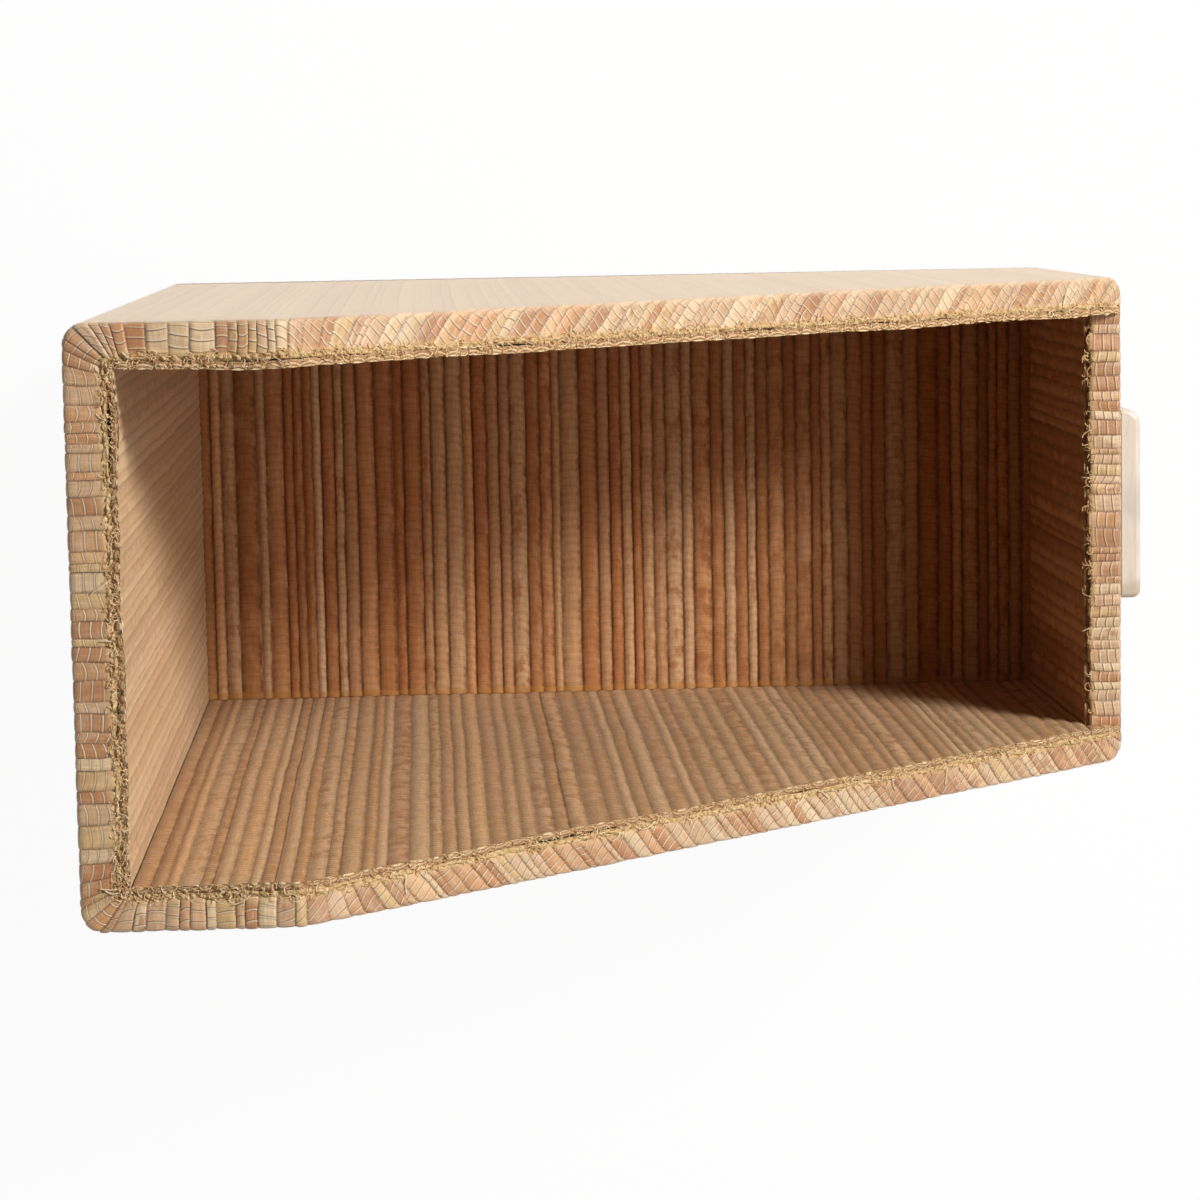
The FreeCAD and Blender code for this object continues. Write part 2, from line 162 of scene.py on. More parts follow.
def ripple(rng: np.random.Generator, x: np.ndarray, y: np.ndarray, size: float) -> np.ndarray:
    """Smooth noise over a plane.

    The value is the mean of eight cosines with turned directions and wavelengths round the size, scaled so
    that it stays within about minus one and one.

    Args:
        rng: the seeded source of the directions and phases.
        x: first coordinate.
        y: second coordinate.
        size: typical wavelength, in the coordinates' unit.

    Returns:
        Noise in the shape of x and y together.
    """
    total = np.zeros(np.broadcast(x, y).shape)
    for turn, wave, phase in zip(
        rng.uniform(0.0, 2.0 * np.pi, 8), rng.uniform(0.6, 1.8, 8), rng.uniform(0.0, 2.0 * np.pi, 8)
    ):
        step = 2.0 * np.pi / (size * wave)
        total = total + np.cos(step * (x * np.cos(turn) + y * np.sin(turn)) + phase)
    return total / 4.0


def smooth_step(low: float, high: float, value: np.ndarray) -> np.ndarray:
    """Rises smoothly from 0 at low to 1 at high: 3 t squared less 2 t cubed."""
    t = np.clip((value - low) / (high - low), 0.0, 1.0)
    return t * t * (3.0 - 2.0 * t)


def unit(vectors: np.ndarray) -> np.ndarray:
    """Scales each vector to length one."""
    return vectors / np.maximum(np.linalg.norm(vectors, axis=-1, keepdims=True), 1e-9)


@dataclass(frozen=True)
class Wave:
    """Smooth unevenness: how far it goes to either side, and the size in mm of its swells."""

    reach: float
    size: float

    def draw(self, rng: np.random.Generator, x: np.ndarray, y: np.ndarray) -> np.ndarray:
        """Draws it at places x, y in mm."""
        return self.reach * ripple(rng, x, y, self.size)


@dataclass(frozen=True)
class BoxSizes:
    """Main sizes of the box in mm, read from the boxes of the frame's nodes."""

    half_width: float
    half_depth: float
    back_height: float
    front_height: float
    flap: float
    room_half_width: float
    room_half_depth: float
    floor_top: float
    lining_top: float
    lining: float = 2.0
    level_length: float = 45.0
    bend_round: float = 0.9

    @classmethod
    def from_frame(cls) -> "BoxSizes":
        """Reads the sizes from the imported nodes.

        Returns:
            The sizes in mm.
        """
        wrap_low, wrap_high = (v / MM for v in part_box("wrap_cover"))
        front_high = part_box("front_cover")[1] / MM
        side_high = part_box("left_side_lining")[1] / MM
        back_low, back_high = (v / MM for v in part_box("back_lining"))
        return cls(
            half_width=wrap_high.x,
            half_depth=wrap_high.y,
            back_height=wrap_high.z,
            front_height=front_high.z,
            flap=front_high.y - wrap_low.y,
            room_half_width=-side_high.x,
            room_half_depth=back_low.y,
            floor_top=back_low.z,
            lining_top=wrap_high.z - back_high.z,
        )

    @property
    def bend_y(self) -> float:
        """Where the level back part of the rim turns into the slope."""
        return self.half_depth - self.level_length

    @property
    def steepness(self) -> float:
        """Rise over run of the sloping rim."""
        return (self.back_height - self.front_height) / (self.bend_y + self.half_depth)

    def rim_height(self, y: np.ndarray) -> np.ndarray:
        """Height of the rim: the lower of the level and the slope, with the bend rounded.

        Args:
            y: places front to back.

        Returns:
            The heights, a smooth least of the two heights with the bend's rounding as its width.
        """
        line = self.front_height + (y + self.half_depth) * self.steepness
        gap = np.abs(self.back_height - line) / self.bend_round
        return np.minimum(self.back_height, line) - self.bend_round * np.log1p(np.exp(-gap))

    def rim_rise(self, y: np.ndarray) -> np.ndarray:
        """Slope of the rim: the steepness before the bend and none behind it, smoothly joined.

        Args:
            y: places front to back.

        Returns:
            Rise over run at these places.
        """
        line = self.front_height + (y + self.half_depth) * self.steepness
        share = 1.0 / (1.0 + np.exp(np.clip((line - self.back_height) / self.bend_round, -60, 60)))
        return self.steepness * share


class PlanPath:
    """A line in plan through corner points, with rounded corners, and its outward direction."""

    def __init__(self, corners: list[tuple[float, float]], corner_round: float = 0.0) -> None:
        """Samples the straight runs and the corner arcs.

        Args:
            corners: the points that the line runs through, in mm; the outside is on the left of the walk.
            corner_round: radius of the inner corners, in mm.
        """
        points = [np.array(p, float) for p in corners]
        samples = [points[0][None]]
        facing = [self._left(points[1] - points[0])[None]]
        for before, here, after in zip(points[:-2], points[1:-1], points[2:]):
            walk_in = unit(here - before)
            walk_out = unit(after - here)
            turn = np.linspace(0.0, np.pi / 2.0, 17)[:, None]
            centre = here - walk_in * corner_round + walk_out * corner_round
            arc = centre - walk_out * corner_round * np.cos(turn) + walk_in * corner_round * np.sin(turn)
            out = self._left(walk_in) * np.cos(turn) + self._left(walk_out) * np.sin(turn)
            samples.append(arc)
            facing.append(out)
        samples.append(points[-1][None])
        facing.append(self._left(points[-1] - points[-2])[None])
        self.points = np.concatenate(samples)
        self.facing = np.concatenate(facing)
        steps = np.linalg.norm(np.diff(self.points, axis=0), axis=1)
        self.stations = np.concatenate([[0.0], np.cumsum(np.maximum(steps, 1e-9))])
        self.length = float(self.stations[-1])

    @staticmethod
    def _left(walk: np.ndarray) -> np.ndarray:
        """Direction a quarter turn left of the walk."""
        return unit(np.array([-walk[1], walk[0]]))

    def at(self, s: np.ndarray) -> np.ndarray:
        """Points at distances along the path."""
        return np.stack([np.interp(s, self.stations, self.points[:, i]) for i in (0, 1)], axis=-1)

    def outward(self, s: np.ndarray) -> np.ndarray:
        """Outward directions at distances along the path."""
        return unit(np.stack([np.interp(s, self.stations, self.facing[:, i]) for i in (0, 1)], axis=-1))


@dataclass(frozen=True)
class Weave:
    """How one mat is woven: flat reed strips side by side, held by fine threads across them, in mm."""

    strip_mean: float
    strip_least: float
    strip_most: float
    crown: float
    groove: float
    lift: float
    tilt: float
    ridge: float
    bulge: float
    thread: float = 0.45
    pitch: float = THREAD_PITCH
    seed: int = 1


class StripRun:
    """The strips of one run of mat: where their columns lie across the run and how high they stand."""

    def __init__(self, weave: Weave, length: float, seed: int) -> None:
        """Draws the widths, heights, tilts and thread phases of the strips.

        Args:
            weave: how the mat is woven.
            length: width of the whole run, in mm.
            seed: number that fixes this run's chances.
        """
        rng = np.random.default_rng(weave.seed * 1000 + seed)
        self.weave = weave
        self.count = max(int(round(length / weave.strip_mean)), 2)
        widths = weave.strip_least + (weave.strip_most - weave.strip_least) * rng.beta(1.5, 2.4, self.count)
        widths = widths * length / widths.sum()
        starts = np.concatenate([[0.0], np.cumsum(widths)])
        strips = np.repeat(np.arange(self.count), COLUMNS)
        fractions = np.tile(ACROSS, self.count)
        self.strips = np.append(strips, self.count - 1)
        self.fractions = np.append(fractions, 1.0)
        self.places = starts[self.strips] + widths[self.strips] * self.fractions
        bow = (2.0 * self.fractions - 1.0) ** 2
        at_groove = (self.fractions < 0.01) | (self.fractions > 0.99)
        lift = rng.uniform(-1.0, 0.0, self.count)[self.strips] * weave.lift
        lean = rng.normal(0.0, 0.6, self.count).clip(-1.0, 1.0)[self.strips] * weave.tilt
        height = lift - weave.crown * bow + lean * (self.fractions - 0.5) - np.abs(lean) * 0.5
        self.rise = np.where(at_groove, -weave.groove - weave.lift * 0.5, height)
        self.cover = np.where(at_groove, 0.0, np.where(bow > 0.7, 0.65, 1.0))
        self.phase = 0.5 * (np.arange(self.count) % 2) + rng.normal(0.0, 0.1, self.count)
        slant = rng.normal(0.0, 0.22, self.count)[self.strips] * (2.0 * self.fractions - 1.0)
        self.arc = rng.normal(0.2, 0.2, self.count)[self.strips] * bow + slant
        # This draw has no use of its own: it keeps the ends below as the seeds have them.
        rng.uniform(-1.0, 1.0, self.count)
        self.ends = rng.normal(0.0, 1.0, self.count).clip(-1.5, 1.5)[self.strips]

    def relief(self, along: np.ndarray) -> np.ndarray:
        """Height of threads and of the bulges between them.

        A thread stands on the strip as a bell of the thread's width wherever the count of threads along the
        strip is whole, and between two threads the strip swells by a raised cosine.

        Args:
            along: distance along the strips, rows by columns, in mm.

        Returns:
            Heights in mm, rows by columns.
        """
        count = (along + self.arc) / self.weave.pitch + self.phase[self.strips]
        off = (count - np.round(count)) * self.weave.pitch
        bell = self.weave.ridge * np.exp(-((off / (0.5 * self.weave.thread)) ** 2))
        swell = self.weave.bulge * (0.5 - 0.5 * np.cos(2.0 * np.pi * count)) - self.weave.bulge
        return (bell + swell) * self.cover


class Stuff(Enum):
    """Which finish a part of a mat gets, as its material slot's number."""

    FACE = 0
    CUT_END = 1


def put_mesh(
    name: str,
    points: np.ndarray,
    corners: np.ndarray,
    starts: np.ndarray,
    finishes: list[bpy.types.Material],
    uv: np.ndarray | None = None,
    raw: np.ndarray | None = None,
    stuff: np.ndarray | None = None,
) -> bpy.types.Object:
    """Puts arrays into a mesh object, with the faces turned outwards.

    The side that the faces show is read from the sign of the enclosed volume, summed over each face's fan of
    triangles, and the corners are reversed where it is negative.

    Args:
        name: the piece's name.
        points: vertices in mm.
        corners: vertex of each face corner.
        starts: first corner of each face.
        finishes: the piece's materials.
        uv: weave coordinates of each face corner.
        raw: distance of each vertex from the mat's raw edge, in mm.
        stuff: material number of each face.

    Returns:
        The new object, linked to the scene and riding on the box.
    """
    mesh = bpy.data.meshes.new(name)
    totals = np.diff(np.append(starts, len(corners)))
    centred = points - points.mean(axis=0)
    first = np.repeat(corners[starts], totals)
    following = np.append(corners[1:], 0)
    ends = starts + totals - 1
    following[ends] = corners[starts]
    volume = np.einsum("ij,ij->i", centred[first], np.cross(centred[corners], centred[following])).sum()
    if volume < 0.0:
        order = np.repeat(starts + ends, totals) - np.arange(len(corners))
        corners = corners[order]
        uv = uv[order] if uv is not None else None
    mesh.vertices.add(len(points))
    mesh.vertices.foreach_set("co", (points * MM).astype(np.float32).ravel())
    mesh.loops.add(len(corners))
    mesh.loops.foreach_set("vertex_index", corners.astype(np.int32))
    mesh.polygons.add(len(starts))
    mesh.polygons.foreach_set("loop_start", starts.astype(np.int32))
    mesh.polygons.foreach_set("use_smooth", (totals <= 4))
    if stuff is not None:
        mesh.polygons.foreach_set("material_index", stuff.astype(np.int32))
    if uv is not None:
        mesh.uv_layers.new(name="weave").uv.foreach_set("vector", uv.astype(np.float32).ravel())
    if raw is not None:
        mesh.attributes.new("raw", "FLOAT", "POINT").data.foreach_set("value", raw.astype(np.float32))
    mesh.update(calc_edges=True)
    mesh.validate()
    for finish in finishes:
        mesh.materials.append(finish)
    piece = bpy.data.objects.new(name, mesh)
    bpy.context.scene.collection.objects.link(piece)
    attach(piece, "root")
    return piece


@dataclass
class MatSheet:
    """A mat as a closed skin: rows along the strips, columns across them, and a plain back.

    base, facing, along and raw are arrays of rows by columns; relief says how much of the threads' relief
    each row shows, and press how much of the strips' own rise; back lists the rows that the plain back
    repeats, and cut the first row of the cut ends.
    """

    run: StripRun
    base: np.ndarray
    facing: np.ndarray
    along: np.ndarray
    raw: np.ndarray
    relief: np.ndarray
    press: np.ndarray
    back: list[int]
    thickness: list[float]
    cut: int

    def build(self, name: str, finishes: list[bpy.types.Material]) -> bpy.types.Object:
        """Closes the skin and makes it a mesh.

        The front is the base moved along its facing by the strips' rise and the threads' relief. The back
        takes a few rows of the base, moved the other way by the thickness, and the ring of front and back
        rows closes on itself. One face closes each of the two sides.

        Args:
            name: the piece's name.
            finishes: materials for the faces and for the cut ends.

        Returns:
            The mat's object.
        """
        height = self.run.rise[None] * self.press + self.run.relief(self.along) * self.relief[:, None]
        front = self.base + self.facing * height[..., None]
        rows = self.back[::-1]
        back = self.base[rows] - self.facing[rows] * np.array(self.thickness[::-1])[:, None, None]
        ring = np.concatenate([front, back])
        along = np.concatenate([self.along, self.along[rows]])
        raw = np.concatenate([self.raw, self.raw[rows]])
        count, width = ring.shape[:2]
        row = np.arange(count)[:, None]
        column = np.arange(width - 1)[None]
        above = (row + 1) % count
        here = row * width + column
        over = above * width + column
        quads = np.stack([here, here + 1, over + 1, over], axis=-1)
        strip = column[0] // COLUMNS
        u_left = strip + ACROSS[column[0] % COLUMNS]
        u_right = strip + np.append(ACROSS[1:], 0.999)[column[0] % COLUMNS]
        phase = self.run.phase[strip]
        v_here = (along + self.run.arc) / self.run.weave.pitch
        v_above = v_here[above[:, 0]]
        u = np.broadcast_to(np.stack([u_left, u_right, u_right, u_left], axis=-1), quads.shape)
        v = np.stack([v_here[:, :-1], v_here[:, 1:], v_above[:, 1:], v_above[:, :-1]], axis=-1)
        v = v + phase[None, :, None]
        uv_quads = np.stack([u, v], axis=-1).reshape(-1, 2)
        stuff = np.full(quads.shape[:2], Stuff.FACE.value)
        stuff[self.cut : len(self.base)] = Stuff.CUT_END.value
        left = np.arange(count) * width
        right = left[::-1] + width - 1
        uv_left = np.stack([np.full(count, 0.3), v_here[:, 0]], axis=-1)
        uv_right = np.stack([np.full(count, self.run.count - 0.7), v_here[::-1, -1]], axis=-1)
        corners = np.concatenate([quads.ravel(), left, right])
        starts = np.concatenate(
            [np.arange(quads.shape[0] * quads.shape[1]) * 4, [quads.size, quads.size + count]]
        )
        return put_mesh(
            name,
            ring.reshape(-1, 3),
            corners,
            starts,
            finishes,
            uv=np.concatenate([uv_quads, uv_left, uv_right]),
            raw=raw.ravel(),
            stuff=np.concatenate([stuff.ravel(), [Stuff.FACE.value, Stuff.FACE.value]]),
        )


@dataclass
class FoldedMat:
    """Outer mat on a wall, folded over the rim and glued down on it, up to its raw edge.

    reach gives, for a strip at a distance along the outer path, where on the inner path it ends: a strip
    stays straight in the unfolded mat, so on the sloping rim it leans towards the back, and round a back
    corner the strips fan and come together.
    """

    name: str
    sizes: BoxSizes
    weave: Weave
    outer: PlanPath
    inner: PlanPath
    reach: Callable[[np.ndarray], np.ndarray]
    level_rim: bool = False
    seed: int = 1
    fold: float = 1.8
    thickness: float = 1.5
    wall_rows: int = 12
    fold_rows: int = 5
    rim_rows: int = 27
    wall_waver: Wave = Wave(0.25, 110.0)
    rim_waver: Wave = Wave(0.3, 9.0)
    long_wander: Wave = Wave(0.4, 38.0)
    short_wander: Wave = Wave(0.22, 8.0)
    glue_lumps: Wave = Wave(0.14, 5.0)
    glued_down: float = 0.16
    edge_sag: float = 0.45
    sag_reach: float = 1.1

    def rim(self, y: np.ndarray) -> tuple[np.ndarray, np.ndarray]:
        """Height and slope of this mat's rim.

        Args:
            y: places front to back.

        Returns:
            Heights in mm, and rises over run.
        """
        if self.level_rim:
            return np.full_like(y, self.sizes.front_height), np.zeros_like(y)
        return self.sizes.rim_height(y), self.sizes.rim_rise(y)

    def build(self, finishes: list[bpy.types.Material]) -> bpy.types.Object:
        """Builds the wall, the fold and the rim of the mat as one closed skin.

        The wall runs straight up to one fold's length below the edge. The fold is a quadratic curve with the
        edge as its middle control point: (1-t)^2 wall + 2t(1-t) edge + t^2 rim. On the rim each strip runs
        straight from its place on the outer path to its end on the inner path.

        Args:
            finishes: materials for the faces and for the cut ends.

        Returns:
            The mat's object.
        """
        rng = np.random.default_rng(self.seed + 40)
        run = StripRun(self.weave, self.outer.length, self.seed)
        s = run.places[None]
        out = self.outer.at(run.places)
        edge_z, _ = self.rim(out[:, 1])
        edge = np.concatenate([out, edge_z[:, None]], axis=1)[None]
        share = np.linspace(0.0, 1.0, self.wall_rows)[:, None]
        wall_z = (edge_z[None] - self.fold) * share
        waver = self.wall_waver.draw(rng, s, wall_z * 0.5) * np.sin(np.pi * share) ** 0.5
        ends_still = np.minimum(smooth_step(0.0, 4.0, s), smooth_step(0.0, 4.0, self.outer.length - s))
        wall_s = s + waver * ends_still
        wall = np.concatenate([self.outer.at(wall_s), wall_z[..., None]], axis=-1)
        wall_out = self.outer.outward(wall_s)
        wall_out = np.concatenate([wall_out, np.zeros_like(wall_z)[..., None]], axis=-1)
        ends = self.inner.at(self.reach(run.places))
        reach_length = np.linalg.norm(ends - out, axis=1)
        start_q = self.fold / np.maximum(reach_length, self.fold * 1.4)
        end_q = 1.0 + 0.03 * run.ends
        q = start_q[None] + (end_q - start_q)[None] * np.linspace(0.0, 1.0, self.rim_rows)[:, None]
        plan = out[None] * (1.0 - q[..., None]) + ends[None] * q[..., None]
        walk = unit(np.gradient(out, axis=0))[None]
        aside = self.rim_waver.draw(rng, s, q * self.sizes.flap) * q * ends_still
        plan = plan + walk * aside[..., None]
        rim_z, rise = self.rim(plan[..., 1])
        rim = np.concatenate([plan, rim_z[..., None]], axis=-1)
        rim_out = unit(np.stack([np.zeros_like(rise), -rise, np.ones_like(rise)], axis=-1))
        t = (np.arange(1, self.fold_rows + 1) / (self.fold_rows + 1.0))[:, None, None]
        bend = (1 - t) ** 2 * wall[-1:] + 2 * t * (1 - t) * edge + t**2 * rim[:1]
        bend_out = unit((1 - t) * wall_out[-1:] + t * rim_out[:1])
        rim_along = np.linalg.norm(rim - edge, axis=-1)
        t = t[..., 0]
        bend_along = edge_z[None] - self.fold + (self.fold + rim_along[:1]) * t
        along = np.concatenate([wall_z, bend_along, edge_z[None] + rim_along])
        along = along + self.long_wander.draw(rng, s, along * 0.0) + self.short_wander.draw(rng, s, along)
        left = np.maximum(rim_along[-1:] - rim_along, 0.0)
        bend_left = rim_along[-1:] - rim_along[:1] * t + self.fold * (1 - t)
        raw = np.concatenate([rim_along[-1:] + (edge_z[None] - wall_z), bend_left, left])
        base = np.concatenate([wall, bend, rim])
        facing = np.concatenate([wall_out, bend_out, rim_out])
        sag = self.edge_sag * np.clip(1.0 - raw / self.sag_reach, 0.0, 1.0) ** 2
        lumps = self.glue_lumps.draw(rng, s, along) * smooth_step(3.4, 0.4, raw)
        base = base - facing * (sag - np.minimum(lumps, 0.0) * 2.0 + self.glued_down)[..., None]
        relief = np.concatenate(
            [np.zeros(self.wall_rows), np.linspace(0, 1, self.fold_rows), np.ones(self.rim_rows)]
        )
        middle = self.wall_rows + self.fold_rows // 2
        first_rim = self.wall_rows + self.fold_rows
        back = [0, self.wall_rows - 1, middle, first_rim, len(base) - 1]
        on_side = smooth_step(self.sizes.half_width - 3.0, self.sizes.half_width, out[:, 0])
        wall_press = 0.6 - 0.42 * on_side
        grown = np.concatenate(
            [np.zeros(self.wall_rows), np.linspace(0.25, 1.0, self.fold_rows), np.ones(self.rim_rows)]
        )[:, None]
        press = wall_press[None] + (1.0 - wall_press[None]) * grown
        depths = [self.thickness] * len(back)
        sheet = MatSheet(run, base, facing, along, raw, relief, press, back, depths, len(base) - 1)
        return sheet.build(self.name, finishes)


@dataclass
class LiningMat:
    """Inner mat glued flat on a wall or on the floor, with its cut ends open at the top.

    droop is a place across the mat, a width and a depth in mm, where the mat sags from the wall. foot_glue
    says that dried glue lies at its foot too, and the waves are the mat's unevenness.
    """

    name: str
    weave: Weave
    origin: tuple[float, float, float]
    across: tuple[float, float, float]
    up: tuple[float, float, float]
    facing: tuple[float, float, float]
    length: float
    top: Callable[[np.ndarray], np.ndarray]
    seed: int = 1
    rows: int = 180
    crowding: float = 1.0
    thickness: float = 2.0
    curl: float = 0.5
    lean: float = 0.5
    droop: tuple[float, float, float] = (0.0, 8.0, 0.0)
    foot_glue: bool = False
    long_waver: Wave = Wave(0.22, 70.0)
    short_waver: Wave = Wave(0.16, 16.0)
    lean_waves: Wave = Wave(0.5, 30.0)
    face_swell: Wave = Wave(0.12, 26.0)
    face_sunk: float = 0.14
    end_lumps: Wave = Wave(0.45, 2.2)
    end_drop: float = 0.55
    end_waves: Wave = Wave(0.4, 9.0)
    wander: Wave = Wave(0.3, 45.0)
    back_share: float = 0.97
    foot_depth: float = 1.2

    def build(self, finishes: list[bpy.types.Material]) -> bpy.types.Object:
        """Builds the flat mat and the bowed cut end of each strip as one closed skin.

        A point is the origin plus the distance across, plus the distance up, plus the rise along the
        facing. Near the top the mat leans out a little, unevenly. The last five rows go over the top edge
        from the face to the back, bowed over each strip as its layers are.

        Args:
            finishes: materials for the faces and for the cut ends.

        Returns:
            The mat's object.
        """
        rng = np.random.default_rng(self.seed + 80)
        run = StripRun(self.weave, self.length, self.seed)
        s = run.places[None]
        tops = self.top(run.places)[None] + 0.25 * run.ends[None] * self.curl
        share = 1.0 - (1.0 - np.linspace(0.0, 1.0, self.rows)[:, None]) ** self.crowding
        height = tops * share
        waver = self.long_waver.draw(rng, s, height * 0.4) + self.short_waver.draw(rng, s, height * 0.5)
        waver = waver * np.sin(np.pi * share) ** 0.6
        still = np.minimum(smooth_step(0.0, 5.0, s), smooth_step(0.0, 5.0, self.length - s))
        side = s + waver * still
        from_top = tops - height
        bow = 1.0 - (2.0 * run.fractions[None] - 1.0) ** 2
        place, width, depth = self.droop
        lean = self.lean * (0.5 + self.lean_waves.draw(rng, s, s * 0.0))
        lean = lean + depth * np.exp(-(((s - place) / width) ** 2))
        lean = lean * np.exp(-from_top / 4.0)
        swell = self.face_swell.draw(rng, s, height * 0.6)
        still_lean = lean * smooth_step(0.0, 6.0, s) * smooth_step(0.0, 6.0, self.length - s)
        slack = swell - self.face_sunk + still_lean
        cap = OVER_END
        domed = (bow * 0.9 - 0.45) * (1.0 + 0.5 * run.ends[None]) + self.end_lumps.draw(rng, s, cap * 9.0)
        sunk = self.end_drop * smooth_step(0.6, 0.95, cap) * (0.6 + self.end_waves.draw(rng, s, cap * 0.0))
        cap_height = tops + self.curl * domed * np.sin(np.pi * cap) - sunk
        cap_slack = slack[-1:] - cap * self.thickness * self.back_share
        axes = (self.origin, self.across, self.up, self.facing)
        origin, across, up, facing = (np.array(axis, float) for axis in axes)
        base = (
            origin
            + np.concatenate([side, np.repeat(s, len(cap), 0)])[..., None] * across
            + np.concatenate([height, cap_height])[..., None] * up
            + np.concatenate([slack, cap_slack])[..., None] * facing
        )
        outwards = np.concatenate(
            [np.broadcast_to(facing, height.shape + (3,)), np.broadcast_to(up, cap_height.shape + (3,))]
        )
        along = np.concatenate([height, np.repeat(tops, len(cap), 0) + cap])
        along = along + self.wander.draw(rng, np.repeat(s, len(along), 0), along * 0.0)
        from_end = np.minimum(from_top, height) - self.thickness if self.foot_glue else from_top
        raw = np.concatenate([from_end, -cap + cap_height * 0.0])
        relief = np.concatenate([np.full(self.rows, self.relief_share()), np.zeros(len(cap))])
        press = np.concatenate([np.ones(self.rows), np.full(len(cap), 0.4)])[:, None]
        back = [0, len(base) - 1]
        depths = [self.back_share * self.thickness, self.foot_depth]
        sheet = MatSheet(run, base, outwards, along, raw, relief, press, back, depths, self.rows)
        return sheet.build(self.name, finishes)

    def relief_share(self) -> float:
        """How much of the threads' relief is in the mesh: all where rows are close enough to hold it."""
        closest = self.top(np.array([self.length * 0.5]))[0] / self.rows
        return 1.0 if closest < 0.35 * self.weave.pitch else 0.0


def tubes(points: np.ndarray, radii: np.ndarray, sides: int) -> tuple[np.ndarray, np.ndarray, np.ndarray]:
    """Thin round stems along many lines at once.

    Round each point of a line stands a ring: point + radius (cos a normal + sin a binormal), where the
    normal is the line's direction crossed with a fixed slanting vector.

    Args:
        points: lines by points by three, in mm.
        radii: lines by points, in mm.
        sides: corners of each ring.

    Returns:
        Vertices, face corners and first corners of the faces.
    """
    lines, count = points.shape[:2]
    heading = unit(np.gradient(points, axis=1))
    normal = unit(np.cross(heading, np.array([0.31, 0.17, 0.93])))
    binormal = np.cross(heading, normal)
    angle = np.arange(sides) / sides * 2.0 * np.pi
    ring = normal[:, :, None] * np.cos(angle)[:, None] + binormal[:, :, None] * np.sin(angle)[:, None]
    vertices = points[:, :, None] + ring * radii[:, :, None, None]
    index = np.arange(lines * count * sides).reshape(lines, count, sides)
    turned = np.roll(index, -1, axis=2)
    quads = np.stack([index[:, :-1], turned[:, :-1], turned[:, 1:], index[:, 1:]], axis=-1).reshape(-1)
    ends = np.concatenate([index[:, 0, ::-1].reshape(-1), index[:, -1].reshape(-1)])
    starts = np.concatenate(
        [np.arange(len(quads) // 4) * 4, len(quads) + np.arange(2 * lines) * sides]
    )
    return vertices.reshape(-1, 3), np.concatenate([quads, ends]), starts


